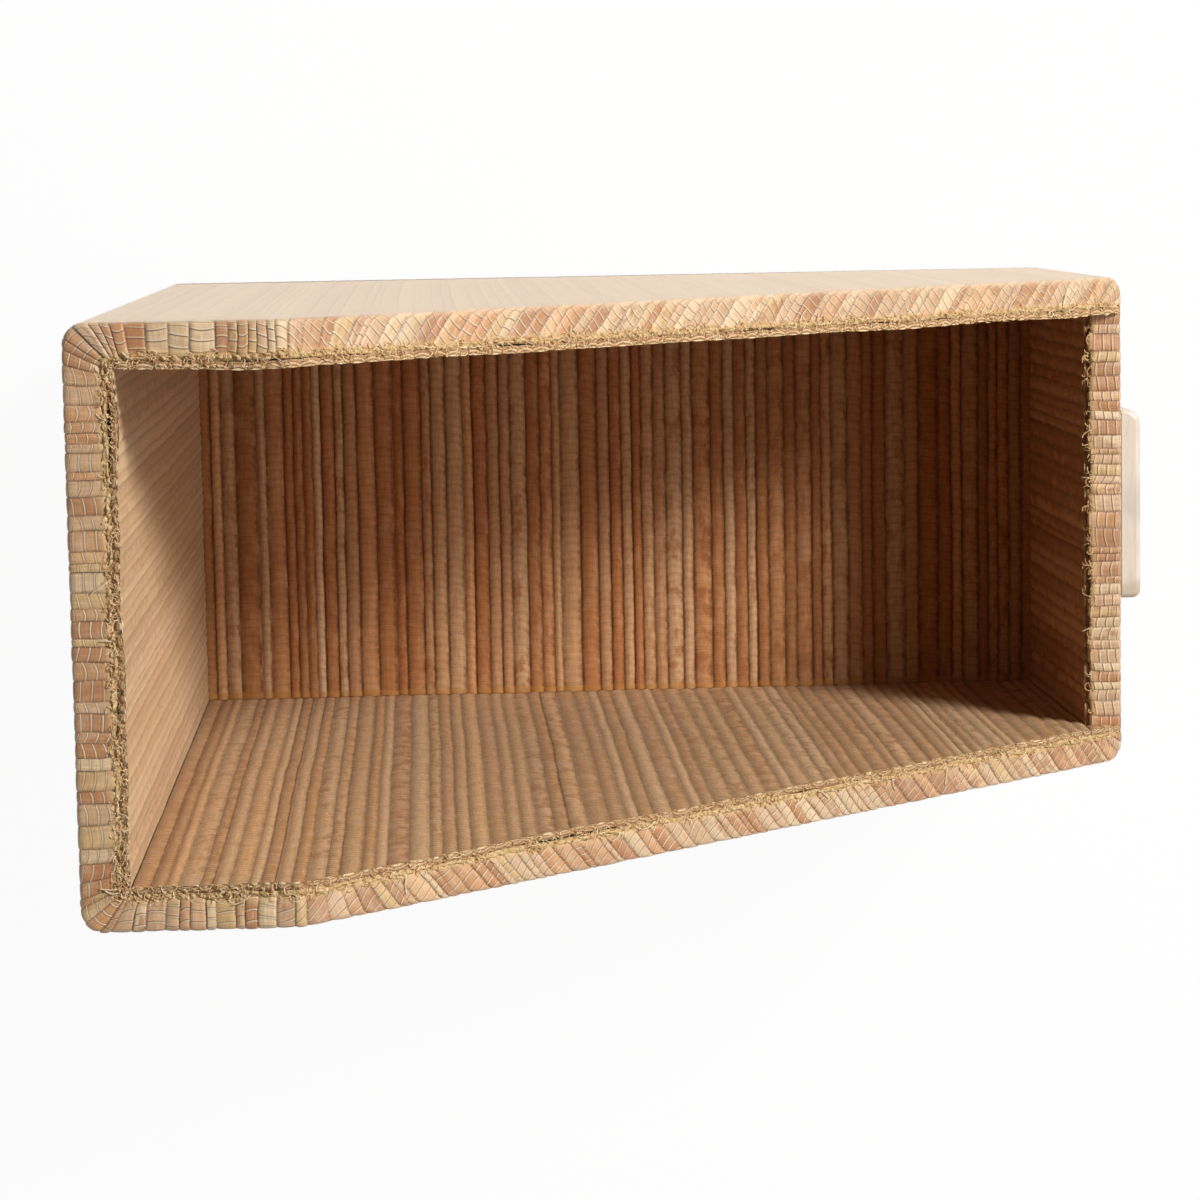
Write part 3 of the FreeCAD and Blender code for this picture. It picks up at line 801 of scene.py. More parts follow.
@dataclass
class RawEdge:
    """What hangs out at the mats' raw edges round the opening: fibres, loose threads and dried glue."""

    sizes: BoxSizes
    seed: int = 11
    fibre_points: int = 7
    fibre_sides: int = 4
    thread_points: int = 13
    thread_sides: int = 6
    stray_count: int = 20
    stray_thick: float = 0.14
    loop_count: int = 34
    glue_step: float = 0.4
    glue_top: float = 0.12
    glue_foot: float = 1.6

    def rim_line(self, inset: float) -> tuple[PlanPath, Callable[[np.ndarray], np.ndarray]]:
        """Plan line of the raw edge and the rim's height over it.

        Args:
            inset: how far the line lies in from the flap's raw edge, in mm.

        Returns:
            The line, and a function from places front to back to heights.
        """
        x = self.sizes.half_width - self.sizes.flap - inset
        y = self.sizes.half_depth - self.sizes.flap - inset
        front = -self.sizes.half_depth + 1.0
        line = PlanPath([(-x, front), (-x, y), (x, y), (x, front)], 0.6)
        return line, self.sizes.rim_height

    def front_line(self) -> tuple[PlanPath, Callable[[np.ndarray], np.ndarray]]:
        """Plan line of the front flap's raw edge and the level rim's height over it.

        Returns:
            The line, and a function from places front to back to heights.
        """
        x = self.sizes.room_half_width - 0.5
        y = -self.sizes.half_depth + self.sizes.flap + FRONT_OVERLAP
        return PlanPath([(x, y), (-x, y)]), lambda places: np.full_like(places, self.sizes.front_height)

    def build_fibres(
        self,
        name: str,
        edge: tuple[PlanPath, Callable[[np.ndarray], np.ndarray]],
        inset: float,
        spread: float,
        count: int,
        seed: int,
        finish: bpy.types.Material,
    ) -> bpy.types.Object:
        """Torn fibres and curled shreds along a raw edge.

        Each is a stem of seven points whose heading turns evenly on its way: its plan is the running sum of
        (cos a, sin a) with a = start + curl t. It rises in a small hop, and the tone that colours it is its
        own chance.

        Args:
            name: the piece's name.
            edge: the raw edge's plan line and the height over it.
            inset: how far in from the flap's raw edge their roots lie, in mm.
            spread: how far the roots stray from there, in mm.
            count: how many are drawn; some two thirds of them stay.
            seed: number that fixes their chances.
            finish: their material.

        Returns:
            The fibres as one object.
        """
        rng = np.random.default_rng(self.seed + seed)
        line, height = edge
        s = rng.uniform(2.0, line.length - 2.0, count)
        clump = 0.5 + 0.5 * ripple(rng, s, s * 0.0, 9.0)
        s = s[rng.uniform(0.0, 1.0, count) < 0.1 + 0.9 * clump]
        count = len(s)
        root = rng.normal(inset, spread, (count, 1))
        length = rng.gamma(3.0, 0.36, (count, 1)).clip(0.4, 2.8)
        t = np.linspace(0.0, 1.0, self.fibre_points)[None]
        heading = rng.uniform(0.0, 2.0 * np.pi, (count, 1)) + rng.normal(0.0, 2.4, (count, 1)) * t
        step = length / (self.fibre_points - 1)
        along = np.cumsum(np.cos(heading) * step, axis=1)
        inward = np.clip(root + np.cumsum(np.sin(heading) * step, axis=1), -1.6, 2.35)
        out = line.outward(s)
        walk = np.stack([out[:, 1], -out[:, 0]], axis=1)
        flat = line.at(s)[:, None] + walk[:, None] * along[..., None] - out[:, None] * inward[..., None]
        hop = 1.6 * t * (1.0 - t) * rng.uniform(0.0, 1.0, (count, 1)) - rng.uniform(0.15, 0.9, (count, 1))
        z = height(flat[..., 1]) + np.minimum(hop, 0.16 - 0.25 * smooth_step(0.2, 1.6, inward))
        points = np.concatenate([flat, z[..., None]], axis=-1)
        radii = rng.uniform(0.05, 0.16, (count, 1)) * np.linspace(1.0, 0.6, self.fibre_points)[None]
        vertices, corners, starts = tubes(points, radii, self.fibre_sides)
        tone = np.repeat(rng.uniform(0.0, 1.0, count), self.fibre_points * self.fibre_sides)
        return put_mesh(name, vertices, corners, starts, [finish], raw=tone)

    def build_strays(self, finish: bpy.types.Material) -> bpy.types.Object:
        """Loose weft threads that lie over the flap: each a slow bend close on the rim.

        Args:
            finish: their material.

        Returns:
            The threads as one object.
        """
        rng = np.random.default_rng(self.seed + 71)
        line, height = self.rim_line(0.0)
        count = self.stray_count
        s = np.sort(rng.uniform(6.0, line.length - 6.0, count))
        t = np.linspace(0.0, 1.0, self.thread_points)[None]
        steps = self.thread_points - 1
        length = rng.uniform(2.0, 5.5, (count, 1))
        heading = rng.uniform(-2.4, -0.7, (count, 1)) + rng.normal(0.0, 0.8, (count, 1)) * t
        along = np.cumsum(np.cos(heading) * length / steps, axis=1)
        inward = np.clip(0.4 + np.cumsum(np.sin(heading) * length / steps, axis=1), -5.6, 0.9)
        out = line.outward(s)
        walk = np.stack([out[:, 1], -out[:, 0]], axis=1)
        flat = line.at(s)[:, None] + walk[:, None] * along[..., None] - out[:, None] * inward[..., None]
        z = height(flat[..., 1]) - 0.08 - 0.7 * smooth_step(0.25, 0.0, t)
        points = np.concatenate([flat, z[..., None]], axis=-1)
        radii = np.full((count, self.thread_points), self.stray_thick)
        vertices, corners, starts = tubes(points, radii, self.thread_sides)
        return put_mesh("stray_threads", vertices, corners, starts, [finish])

    def build_glue(
        self, name: str, inset: float, width: float, rise: float, seed: int, finish: bpy.types.Material
    ) -> bpy.types.Object:
        """Dried glue and fluff along a raw edge: a lumpy ribbon that dips under and rises over the mat.

        Its height over the rim is a bell across the ribbon plus noise of two sizes, so that only its lumps
        show between the strips' ends.

        Args:
            name: the piece's name.
            inset: how far in from the flap's raw edge its middle lies, in mm.
            width: half its width, in mm.
            rise: how high its middle stands against the rim, in mm.
            seed: number that fixes its lumps.
            finish: its material.

        Returns:
            The ribbon's object.
        """
        rng = np.random.default_rng(self.seed + seed)
        line, height = self.rim_line(inset)
        s = np.arange(0.5, line.length - 0.5, self.glue_step)[:, None]
        w = np.linspace(-1.0, 1.0, 9)[None]
        middle = 0.25 * ripple(rng, s, s * 0.0, 11.0)
        reach = width * (1.0 + 0.25 * ripple(rng, s, s * 0.0, 8.0))
        flat = line.at(s[:, 0])[:, None] + line.outward(s[:, 0])[:, None] * (middle + w * reach)[..., None]
        lumps = 0.65 * ripple(rng, s, w * 1.2, 2.2) + 0.5 * ripple(rng, s, w * 1.2, 0.9)
        z = height(flat[..., 1]) + rise - 0.6 * w**2 + lumps * 0.75 * (1.0 - w**4)
        z = np.minimum(z, height(flat[..., 1]) + self.glue_top)
        top = np.concatenate([flat, z[..., None]], axis=-1)
        foot = height(flat[..., 1]) - self.glue_foot
        under = np.concatenate([flat, foot[..., None]], axis=-1)[:, [-1, 0]]
        ring = np.concatenate([top, under], axis=1)
        rows, width = ring.shape[:2]
        index = np.arange(rows * width).reshape(rows, width)
        turned = np.roll(index, -1, axis=1)
        quads = np.stack([index[:-1], turned[:-1], turned[1:], index[1:]], axis=-1).reshape(-1)
        corners = np.concatenate([quads, index[0, ::-1], index[-1]])
        starts = np.concatenate([np.arange(len(quads) // 4) * 4, [len(quads), len(quads) + width]])
        return put_mesh(name, ring.reshape(-1, 3), corners, starts, [finish])

    def build_loops(self, finish: bpy.types.Material) -> bpy.types.Object:
        """Weft ends that stand out over the front lining: open bends, no two alike.

        Args:
            finish: their material.

        Returns:
            The weft ends as one object.
        """
        rng = np.random.default_rng(self.seed + 9)
        line, height = self.front_line()
        count = self.loop_count
        s = rng.uniform(2.0, line.length - 2.0, count)
        t = np.linspace(0.0, 1.0, self.thread_points)[None]
        steps = self.thread_points - 1
        length = rng.uniform(1.0, 3.6, (count, 1))
        heading = rng.uniform(0.3, 2.8, (count, 1))
        curl = rng.choice([-1.0, 1.0], (count, 1)) * rng.uniform(0.8, 3.6, (count, 1))
        heading = heading + curl * t
        x = s[:, None] + np.cumsum(np.cos(heading) * length / steps, axis=1)
        inward = np.clip(0.1 + np.cumsum(np.sin(heading) * length / steps, axis=1), -0.8, 1.9)
        flat = np.stack([line.points[0, 0] - x, line.points[0, 1] + inward], axis=-1)
        z = height(flat[..., 1]) - 0.35 + 0.45 * np.sin(np.pi * t) * rng.uniform(-1.0, 1.0, (count, 1))
        points = np.concatenate([flat, z[..., None]], axis=-1)
        radii = np.repeat(rng.uniform(0.09, 0.17, (count, 1)), self.thread_points, axis=1)
        vertices, corners, starts = tubes(points, radii, self.thread_sides)
        tone = np.repeat(rng.uniform(0.0, 0.55, count), self.thread_points * self.thread_sides)
        return put_mesh("front_weft_ends", vertices, corners, starts, [finish], raw=tone)


@dataclass(frozen=True)
class WeaveMarks:
    """What the parts of a woven finish share: its node tree and sockets that place a point in the weave.

    across runs from 0 to 1 over a strip, along counts threads along it, seed differs from strip to strip,
    and chance and chances are each strip's own. streak, fleck and clouds are noise stretched over the
    strips, and bleached is one on the right side's wall, where a pale sheen is painted into the colour.
    """

    tree: bpy.types.NodeTree
    across: Socket
    along: Socket
    seed: Socket
    chance: Socket
    chances: tuple[Socket, Socket, Socket]
    raw: Socket
    place: Socket
    streak: Socket
    fleck: Socket
    clouds: Socket
    painted_sheen: Socket


@dataclass(frozen=True)
class WovenReed:
    """Split reed strips woven side by side with fine cotton, glued down: warm, streaky, satin strips.

    palette holds the strips' colours, thread, stain, bloom and glue the colours of what lies on and between
    them, and groove the colour of the painted shade between them and along the threads. thread_width is in
    mm, glue_reach too, and groove_shade_width and scallop are shares of a strip's width. The values that end
    in dark, show or most say how strongly a mark shows; side_shade_dark, groove_shade_dark and
    thread_shade_dark are painted shade.
    The values that begin with wall hold on the right side's wall alone, where a pale sheen is painted.
    """

    name: str
    palette: tuple[str, ...]
    thread: str
    groove: str
    stain: str
    bloom: str
    bloom_most: float
    glue: str
    thread_width: float
    thread_show: float
    glue_reach: float
    roughness: float
    weave_bump: float
    gloss_level: float
    groove_shade_dark: float
    thread_shade_dark: float
    side_shade_dark: float
    groove_shade_width: float
    scallop: float
    mottle: float
    nap: float
    wall_groove: float
    wall_thread: float
    wall_sheen: float
    wall_sheen_tone: str
    fuzz: float
    fuzz_tint: str

    @property
    def half_thread(self) -> float:
        """Half a thread's width as a share of the distance between two threads."""
        return 0.5 * self.thread_width / THREAD_PITCH

    def build(self) -> bpy.types.Material:
        """Makes the material from the weave coordinates: whole part strip, rest across, threads along.

        Returns:
            The finished material.
        """
        material, tree, shader = new_finish(self.name)
        marks = self._read_marks(tree)
        on_thread, thread_shadow, under = self._thread_lines(marks)
        # Painted shade along the threads: a shadow beside each one and a faint dip where it passes under.
        lines = add_node(tree, "ShaderNodeMath", MAXIMUM, {0: thread_shadow, 1: under})
        # The threads and their painted shade fade out under the right wall's painted sheen.
        sunk = add_node(
            tree, "ShaderNodeMapRange", {}, {0: marks.painted_sheen, 1: 0.0, 2: 1.0, 3: 1.0, 4: self.wall_thread}
        )
        reed = self._reed_colour(marks)
        groove_shaded = self._groove_shaded(marks, reed, lines.outputs[0], sunk.outputs[0])
        threaded = self._threaded(marks, groove_shaded, on_thread, sunk.outputs[0])
        gloss = add_node(
            tree,
            "ShaderNodeMapRange",
            {},
            {0: marks.streak, 1: 0.3, 2: 0.7, 3: self.roughness - 0.07, 4: self.roughness + 0.09},
        )
        shader.inputs["Specular IOR Level"].default_value = self.gloss_level
        shader.inputs["Sheen Weight"].default_value = self.fuzz
        shader.inputs["Sheen Roughness"].default_value = 0.5
        shader.inputs["Sheen Tint"].default_value = linear(self.fuzz_tint)
        tree.links.new(self._glued(marks, threaded), shader.inputs["Base Color"])
        tree.links.new(gloss.outputs[0], shader.inputs["Roughness"])
        tree.links.new(self._relief(marks, on_thread, under), shader.inputs["Normal"])
        return material

    def _read_marks(self, tree: bpy.types.NodeTree) -> WeaveMarks:
        """Reads the weave coordinates and draws what several parts of the finish share.

        Args:
            tree: the finish's node tree.

        Returns:
            The shared sockets.
        """
        weave = add_node(tree, "ShaderNodeUVMap", {"uv_map": "weave"})
        split = add_node(tree, "ShaderNodeSeparateXYZ", {}, {0: weave})
        strip = add_node(tree, "ShaderNodeMath", {"operation": "FLOOR"}, {0: split})
        across = add_node(tree, "ShaderNodeMath", {"operation": "FRACT"}, {0: split}).outputs[0]
        along = split.outputs[1]
        seed = add_node(
            tree, "ShaderNodeMath", MULTIPLY, {0: strip, 1: 5.37}
        ).outputs[0]
        chance = add_node(tree, "ShaderNodeTexWhiteNoise", {"noise_dimensions": "1D"}, {"W": strip})
        chances = add_node(tree, "ShaderNodeSeparateColor", {}, {0: chance.outputs["Color"]})
        place = add_node(tree, "ShaderNodeTexCoord").outputs["Object"]
        raw = add_node(tree, "ShaderNodeAttribute", {"attribute_name": "raw"}).outputs["Fac"]
        return WeaveMarks(
            tree=tree,
            across=across,
            along=along,
            seed=seed,
            chance=chance.outputs["Value"],
            chances=tuple(chances.outputs[:3]),
            raw=raw,
            place=place,
            # Fibre streaks: about 0.4 mm across the strip and 6 mm along it.
            streak=self._strip_noise(tree, (across, along, seed), (7.0, 0.33), 4.0, 0.65),
            # Raised fibres in fine lines across the strip: 3 mm across it and about 0.5 mm along it.
            fleck=self._strip_noise(tree, (across, along, seed), (1.0, 4.7), 4.0, 0.75),
            # Stains and bloom: clouds some 3 mm across a strip and 6 mm along it.
            clouds=self._strip_noise(tree, (across, along, seed), (1.3, 0.4), 3.0, 0.6),
            painted_sheen=self._painted_sheen(tree, raw, place),
        )

    @staticmethod
    def _strip_noise(
        tree: bpy.types.NodeTree,
        at: tuple[Socket, Socket, Socket],
        scales: tuple[float, float],
        detail: float,
        roughness: float,
    ) -> Socket:
        """Draws noise stretched over each strip, no two strips alike.

        Args:
            tree: the finish's node tree.
            at: sockets across and along the strip, and its seed.
            scales: waves per strip's width and per thread.
            detail: the noise's detail.
            roughness: the noise's roughness.

        Returns:
            The noise's socket.
        """
        wide = add_node(tree, "ShaderNodeMath", MULTIPLY, {0: at[0], 1: scales[0]})
        long = add_node(tree, "ShaderNodeMath", MULTIPLY, {0: at[1], 1: scales[1]})
        joined = add_node(tree, "ShaderNodeCombineXYZ", {}, {0: wide, 1: long, 2: at[2]})
        noise = add_node(
            tree,
            "ShaderNodeTexNoise",
            {},
            {"Vector": joined, "Scale": 1.0, "Detail": detail, "Roughness": roughness},
        )
        return noise.outputs[0]

    @staticmethod
    def _painted_sheen(tree: bpy.types.NodeTree, raw: Socket, place: Socket) -> Socket:
        """Marks the right side's wall, which gets a painted sheen, from 7 to 11 mm off the raw edge on.

        Args:
            tree: the finish's node tree.
            raw: distance from the raw edge, in mm.
            place: the point on the object, in metres.

        Returns:
            A socket that is one on that wall and zero elsewhere.
        """
        low = add_node(tree, "ShaderNodeMapRange", {}, {0: raw, 1: 7.0, 2: 11.0, 3: 0.0, 4: 1.0})
        position = add_node(tree, "ShaderNodeSeparateXYZ", {}, {0: place})
        on_right = add_node(
            tree, "ShaderNodeMapRange", {}, {0: position, 1: 0.0595, 2: 0.0625, 3: 0.0, 4: 1.0}
        )
        painted_sheen = add_node(tree, "ShaderNodeMath", MULTIPLY, {0: low, 1: on_right})
        return painted_sheen.outputs[0]

    def _shading(self, marks: WeaveMarks) -> Socket:
        """How light the reed is: by strip, streak and fleck, with painted shade towards one side of each
        strip.

        Args:
            marks: the shared sockets.

        Returns:
            A socket with the factor on the reed's colour.
        """
        tree = marks.tree
        shade = add_node(
            tree, "ShaderNodeMapRange", {}, {0: marks.chances[0], 1: 0.0, 2: 1.0, 3: 0.87, 4: 1.1}
        )
        streak_shade = add_node(
            tree, "ShaderNodeMapRange", {}, {0: marks.streak, 1: 0.3, 2: 0.7, 3: 0.82, 4: 1.14}
        )
        streaked = add_node(tree, "ShaderNodeMath", MULTIPLY, {0: shade, 1: streak_shade})
        # Painted shade: each strip is darker towards one side, as the light falls across it.
        side_shade = add_node(
            tree,
            "ShaderNodeMapRange",
            SMOOTH,
            {0: marks.across, 1: 0.35, 2: 1.0, 3: 1.0 + 0.3 * self.side_shade_dark, 4: 1.0 - self.side_shade_dark},
        )
        side_shaded = add_node(tree, "ShaderNodeMath", MULTIPLY, {0: streaked, 1: side_shade})
        fleck_shade = add_node(
            tree,
            "ShaderNodeMapRange",
            {},
            {0: marks.fleck, 1: 0.38, 2: 0.62, 3: 1.0 - self.mottle, 4: 1.0 + self.mottle},
        )
        shading = add_node(tree, "ShaderNodeMath", MULTIPLY, {0: side_shaded, 1: fleck_shade})
        return shading.outputs[0]

    def _reed_colour(self, marks: WeaveMarks) -> Socket:
        """Colour of the strips alone: palette, bloom, the right wall's painted sheen, shading and brown
        stains.

        Args:
            marks: the shared sockets.

        Returns:
            The colour's socket.
        """
        tree = marks.tree
        places = np.arange(len(self.palette)) / len(self.palette)
        colour = add_node(
            tree,
            "ShaderNodeValToRGB",
            {},
            {0: marks.chance},
            stops=list(zip(places.tolist(), self.palette)),
        )
        colour.color_ramp.interpolation = "CONSTANT"
        bloom_share = add_node(
            tree,
            "ShaderNodeMapRange",
            SMOOTH,
            {0: marks.clouds, 1: 0.34, 2: 0.5, 3: self.bloom_most, 4: 0.0},
        )
        bloomed = add_node(
            tree, "ShaderNodeMix", COLOURS, {0: bloom_share, 6: colour, 7: linear(self.bloom)}
        )
        # Painted sheen: on the right side's wall the colour goes to a pale tone and its shading evens out.
        fade = add_node(tree, "ShaderNodeMath", MULTIPLY, {0: marks.painted_sheen, 1: self.wall_sheen})
        sheen_toned = add_node(
            tree, "ShaderNodeMix", COLOURS, {0: fade, 6: bloomed.outputs[2], 7: linear(self.wall_sheen_tone)}
        )
        sheen_evened = add_node(
            tree, "ShaderNodeMix", {"data_type": "FLOAT"}, {0: fade, 2: self._shading(marks), 3: 1.0}
        )
        tinted = add_node(
            tree, "ShaderNodeVectorMath", {"operation": "SCALE"}, {0: sheen_toned.outputs[2], "Scale": sheen_evened}
        )
        # Brown stains are stronger on some strips, and the right wall's painted sheen covers them.
        stain_most = add_node(
            tree, "ShaderNodeMapRange", {}, {0: marks.chances[2], 1: 0.35, 2: 1.0, 3: 0.15, 4: 0.9}
        )
        off_sheen = add_node(tree, "ShaderNodeMath", MULTIPLY_ADD, {0: fade, 1: -1.0, 2: 1.0})
        stain_top = add_node(tree, "ShaderNodeMath", MULTIPLY, {0: stain_most, 1: off_sheen})
        stain_share = add_node(
            tree, "ShaderNodeMapRange", SMOOTH, {0: marks.clouds, 1: 0.47, 2: 0.66, 3: 0.0, 4: stain_top}
        )
        stained = add_node(
            tree, "ShaderNodeMix", COLOURS, {0: stain_share, 6: tinted, 7: linear(self.stain)}
        )
        return stained.outputs[2]

    def _thread_lines(self, marks: WeaveMarks) -> tuple[Socket, Socket, Socket]:
        """Where the threads lie: at the whole numbers along the strip; midway they pass under it.

        Args:
            marks: the shared sockets.

        Returns:
            Sockets for the thread itself, for the painted shadow along one side of it, and for the dip where
            the thread passes under the strip, which is a bump and a painted shade.
        """
        tree = marks.tree
        half = self.half_thread
        shifted = add_node(tree, "ShaderNodeMath", {"operation": "ADD"}, {0: marks.along, 1: 0.5})
        part = add_node(tree, "ShaderNodeMath", {"operation": "FRACT"}, {0: shifted})
        off = add_node(tree, "ShaderNodeMath", SUBTRACT, {0: part, 1: 0.5})
        far = add_node(tree, "ShaderNodeMath", ABSOLUTE, {0: off})
        on_thread = add_node(
            tree, "ShaderNodeMapRange", SMOOTH, {0: far, 1: half * 0.6, 2: half * 1.35, 3: 1.0, 4: 0.0}
        )
        # Painted shadow along one side of the thread.
        shadow_off = add_node(tree, "ShaderNodeMath", SUBTRACT, {0: off, 1: half * 1.1})
        shadow_far = add_node(tree, "ShaderNodeMath", ABSOLUTE, {0: shadow_off})
        thread_shadow = add_node(
            tree,
            "ShaderNodeMapRange",
            SMOOTH,
            {0: shadow_far, 1: half * 0.5, 2: half * 1.7, 3: self.thread_shade_dark, 4: 0.0},
        )
        under = add_node(
            tree,
            "ShaderNodeMapRange",
            SMOOTH,
            {0: far, 1: 0.5 - half * 1.2, 2: 0.5, 3: 0.0, 4: self.thread_shade_dark * 0.15},
        )
        return on_thread.outputs[0], thread_shadow.outputs[0], under.outputs[0]

    @staticmethod
    def _edge_gap(marks: WeaveMarks) -> Socket:
        """Distance across from the nearer edge of the strip, as a share of its width."""
        rest = add_node(marks.tree, "ShaderNodeMath", SUBTRACT, {0: 1.0, 1: marks.across})
        return add_node(
            marks.tree, "ShaderNodeMath", {"operation": "MINIMUM"}, {0: rest, 1: marks.across}
        ).outputs[0]

    def _groove_shaded(self, marks: WeaveMarks, reed: Socket, lines: Socket, sunk: Socket) -> Socket:
        """Paints shade on the reed in the grooves between the strips and along the threads.

        The thread draws the strip in, so its edges are scalloped: widest midway between two threads. Here
        and there the strips lie close and the painted groove shade is faint.

        Args:
            marks: the shared sockets.
            reed: the strips' own colour.
            lines: how dark the painted shade along the threads is.
            sunk: how much of the threads is left under the right wall's painted sheen.

        Returns:
            The colour's socket.
        """
        tree = marks.tree
        turn = add_node(tree, "ShaderNodeMath", MULTIPLY, {0: marks.along, 1: 2.0 * np.pi})
        wave = add_node(tree, "ShaderNodeMath", {"operation": "COSINE"}, {0: turn})
        drawn_in = add_node(
            tree, "ShaderNodeMath", MULTIPLY_ADD, {0: wave, 1: -self.scallop, 2: self._edge_gap(marks)}
        )
        groove_shade_share = add_node(
            tree,
            "ShaderNodeMapRange",
            SMOOTH,
            {0: drawn_in, 1: 0.0, 2: self.groove_shade_width, 3: self.groove_shade_dark, 4: 0.0},
        )
        # The groove shade fades out under the right wall's painted sheen.
        groove_kept_under_sheen = add_node(
            tree, "ShaderNodeMapRange", {}, {0: marks.painted_sheen, 1: 0.0, 2: 1.0, 3: 1.0, 4: self.wall_groove}
        )
        close = add_node(
            tree, "ShaderNodeMapRange", {}, {0: marks.clouds, 1: 0.36, 2: 0.56, 3: 0.35, 4: 1.0}
        )
        open_groove_shade = add_node(tree, "ShaderNodeMath", MULTIPLY, {0: groove_shade_share, 1: close})
        groove = add_node(tree, "ShaderNodeMath", MULTIPLY, {0: open_groove_shade, 1: groove_kept_under_sheen})
        thread_shades = add_node(tree, "ShaderNodeMath", MULTIPLY, {0: lines, 1: sunk})
        dark = add_node(tree, "ShaderNodeMath", MAXIMUM, {0: thread_shades, 1: groove})
        # Painted shade: the groove colour darkens the grooves between the strips and the lines along the
        # threads.
        groove_shaded = add_node(tree, "ShaderNodeMix", COLOURS, {0: dark, 6: reed, 7: linear(self.groove)})
        return groove_shaded.outputs[2]

    def _threaded(self, marks: WeaveMarks, under: Socket, on_thread: Socket, sunk: Socket) -> Socket:
        """Lays the threads' colour over the strips, fainter in the grooves and not alike on each strip.

        Args:
            marks: the shared sockets.
            under: the colour below the threads.
            on_thread: one on a thread.
            sunk: how much of the threads is left under the right wall's painted sheen.

        Returns:
            The colour's socket.
        """
        tree = marks.tree
        clear = add_node(
            tree, "ShaderNodeMapRange", SMOOTH, {0: self._edge_gap(marks), 1: 0.0, 2: 0.05, 3: 0.3, 4: 1.0}
        )
        by_strip = add_node(
            tree,
            "ShaderNodeMapRange",
            {},
            {0: marks.chances[1], 1: 0.0, 2: 1.0, 3: self.thread_show * 0.55, 4: self.thread_show},
        )
        shown = add_node(tree, "ShaderNodeMath", MULTIPLY, {0: on_thread, 1: clear})
        here = add_node(tree, "ShaderNodeMath", MULTIPLY, {0: shown, 1: by_strip})
        share = add_node(tree, "ShaderNodeMath", MULTIPLY, {0: here, 1: sunk})
        threaded = add_node(tree, "ShaderNodeMix", COLOURS, {0: share, 6: under, 7: linear(self.thread)})
        return threaded.outputs[2]

    def _glued(self, marks: WeaveMarks, under: Socket) -> Socket:
        """Smears dried glue near the raw edge, in an uneven band with patches of about 4 mm.

        Args:
            marks: the shared sockets.
            under: the colour below the glue.

        Returns:
            The colour's socket.
        """
        tree = marks.tree
        patches = add_node(
            tree, "ShaderNodeTexNoise", {}, {"Vector": marks.place, "Scale": 260.0, "Detail": 3.0}
        )
        strayed = add_node(
            tree, "ShaderNodeMath", MULTIPLY_ADD, {0: patches, 1: -self.glue_reach * 1.8, 2: marks.raw}
        )
        share = add_node(
            tree,
            "ShaderNodeMapRange",
            SMOOTH,
            {0: strayed, 1: -0.3 * self.glue_reach, 2: 0.6 * self.glue_reach, 3: 0.55, 4: 0.0},
        )
        glued = add_node(tree, "ShaderNodeMix", COLOURS, {0: share, 6: under, 7: linear(self.glue)})
        return glued.outputs[2]

    def _relief(self, marks: WeaveMarks, on_thread: Socket, under: Socket) -> Socket:
        """Bump of the fine relief: threads up, fibre streaks and nap, and the dip over a thread below.

        Args:
            marks: the shared sockets.
            on_thread: one on a thread.
            under: the dip where a thread passes under the strip.

        Returns:
            The normal's socket.
        """
        tree = marks.tree
        fine = add_node(tree, "ShaderNodeMath", MULTIPLY_ADD, {0: marks.streak, 1: 0.5, 2: on_thread})
        nap = add_node(tree, "ShaderNodeMath", MULTIPLY_ADD, {0: marks.fleck, 1: self.nap, 2: fine})
        pressed = add_node(tree, "ShaderNodeMath", SUBTRACT, {0: nap, 1: under})
        bump = add_node(
            tree,
            "ShaderNodeBump",
            {},
            {"Strength": self.weave_bump, "Distance": 0.00025, "Height": pressed},
        )
        return bump.outputs[0]


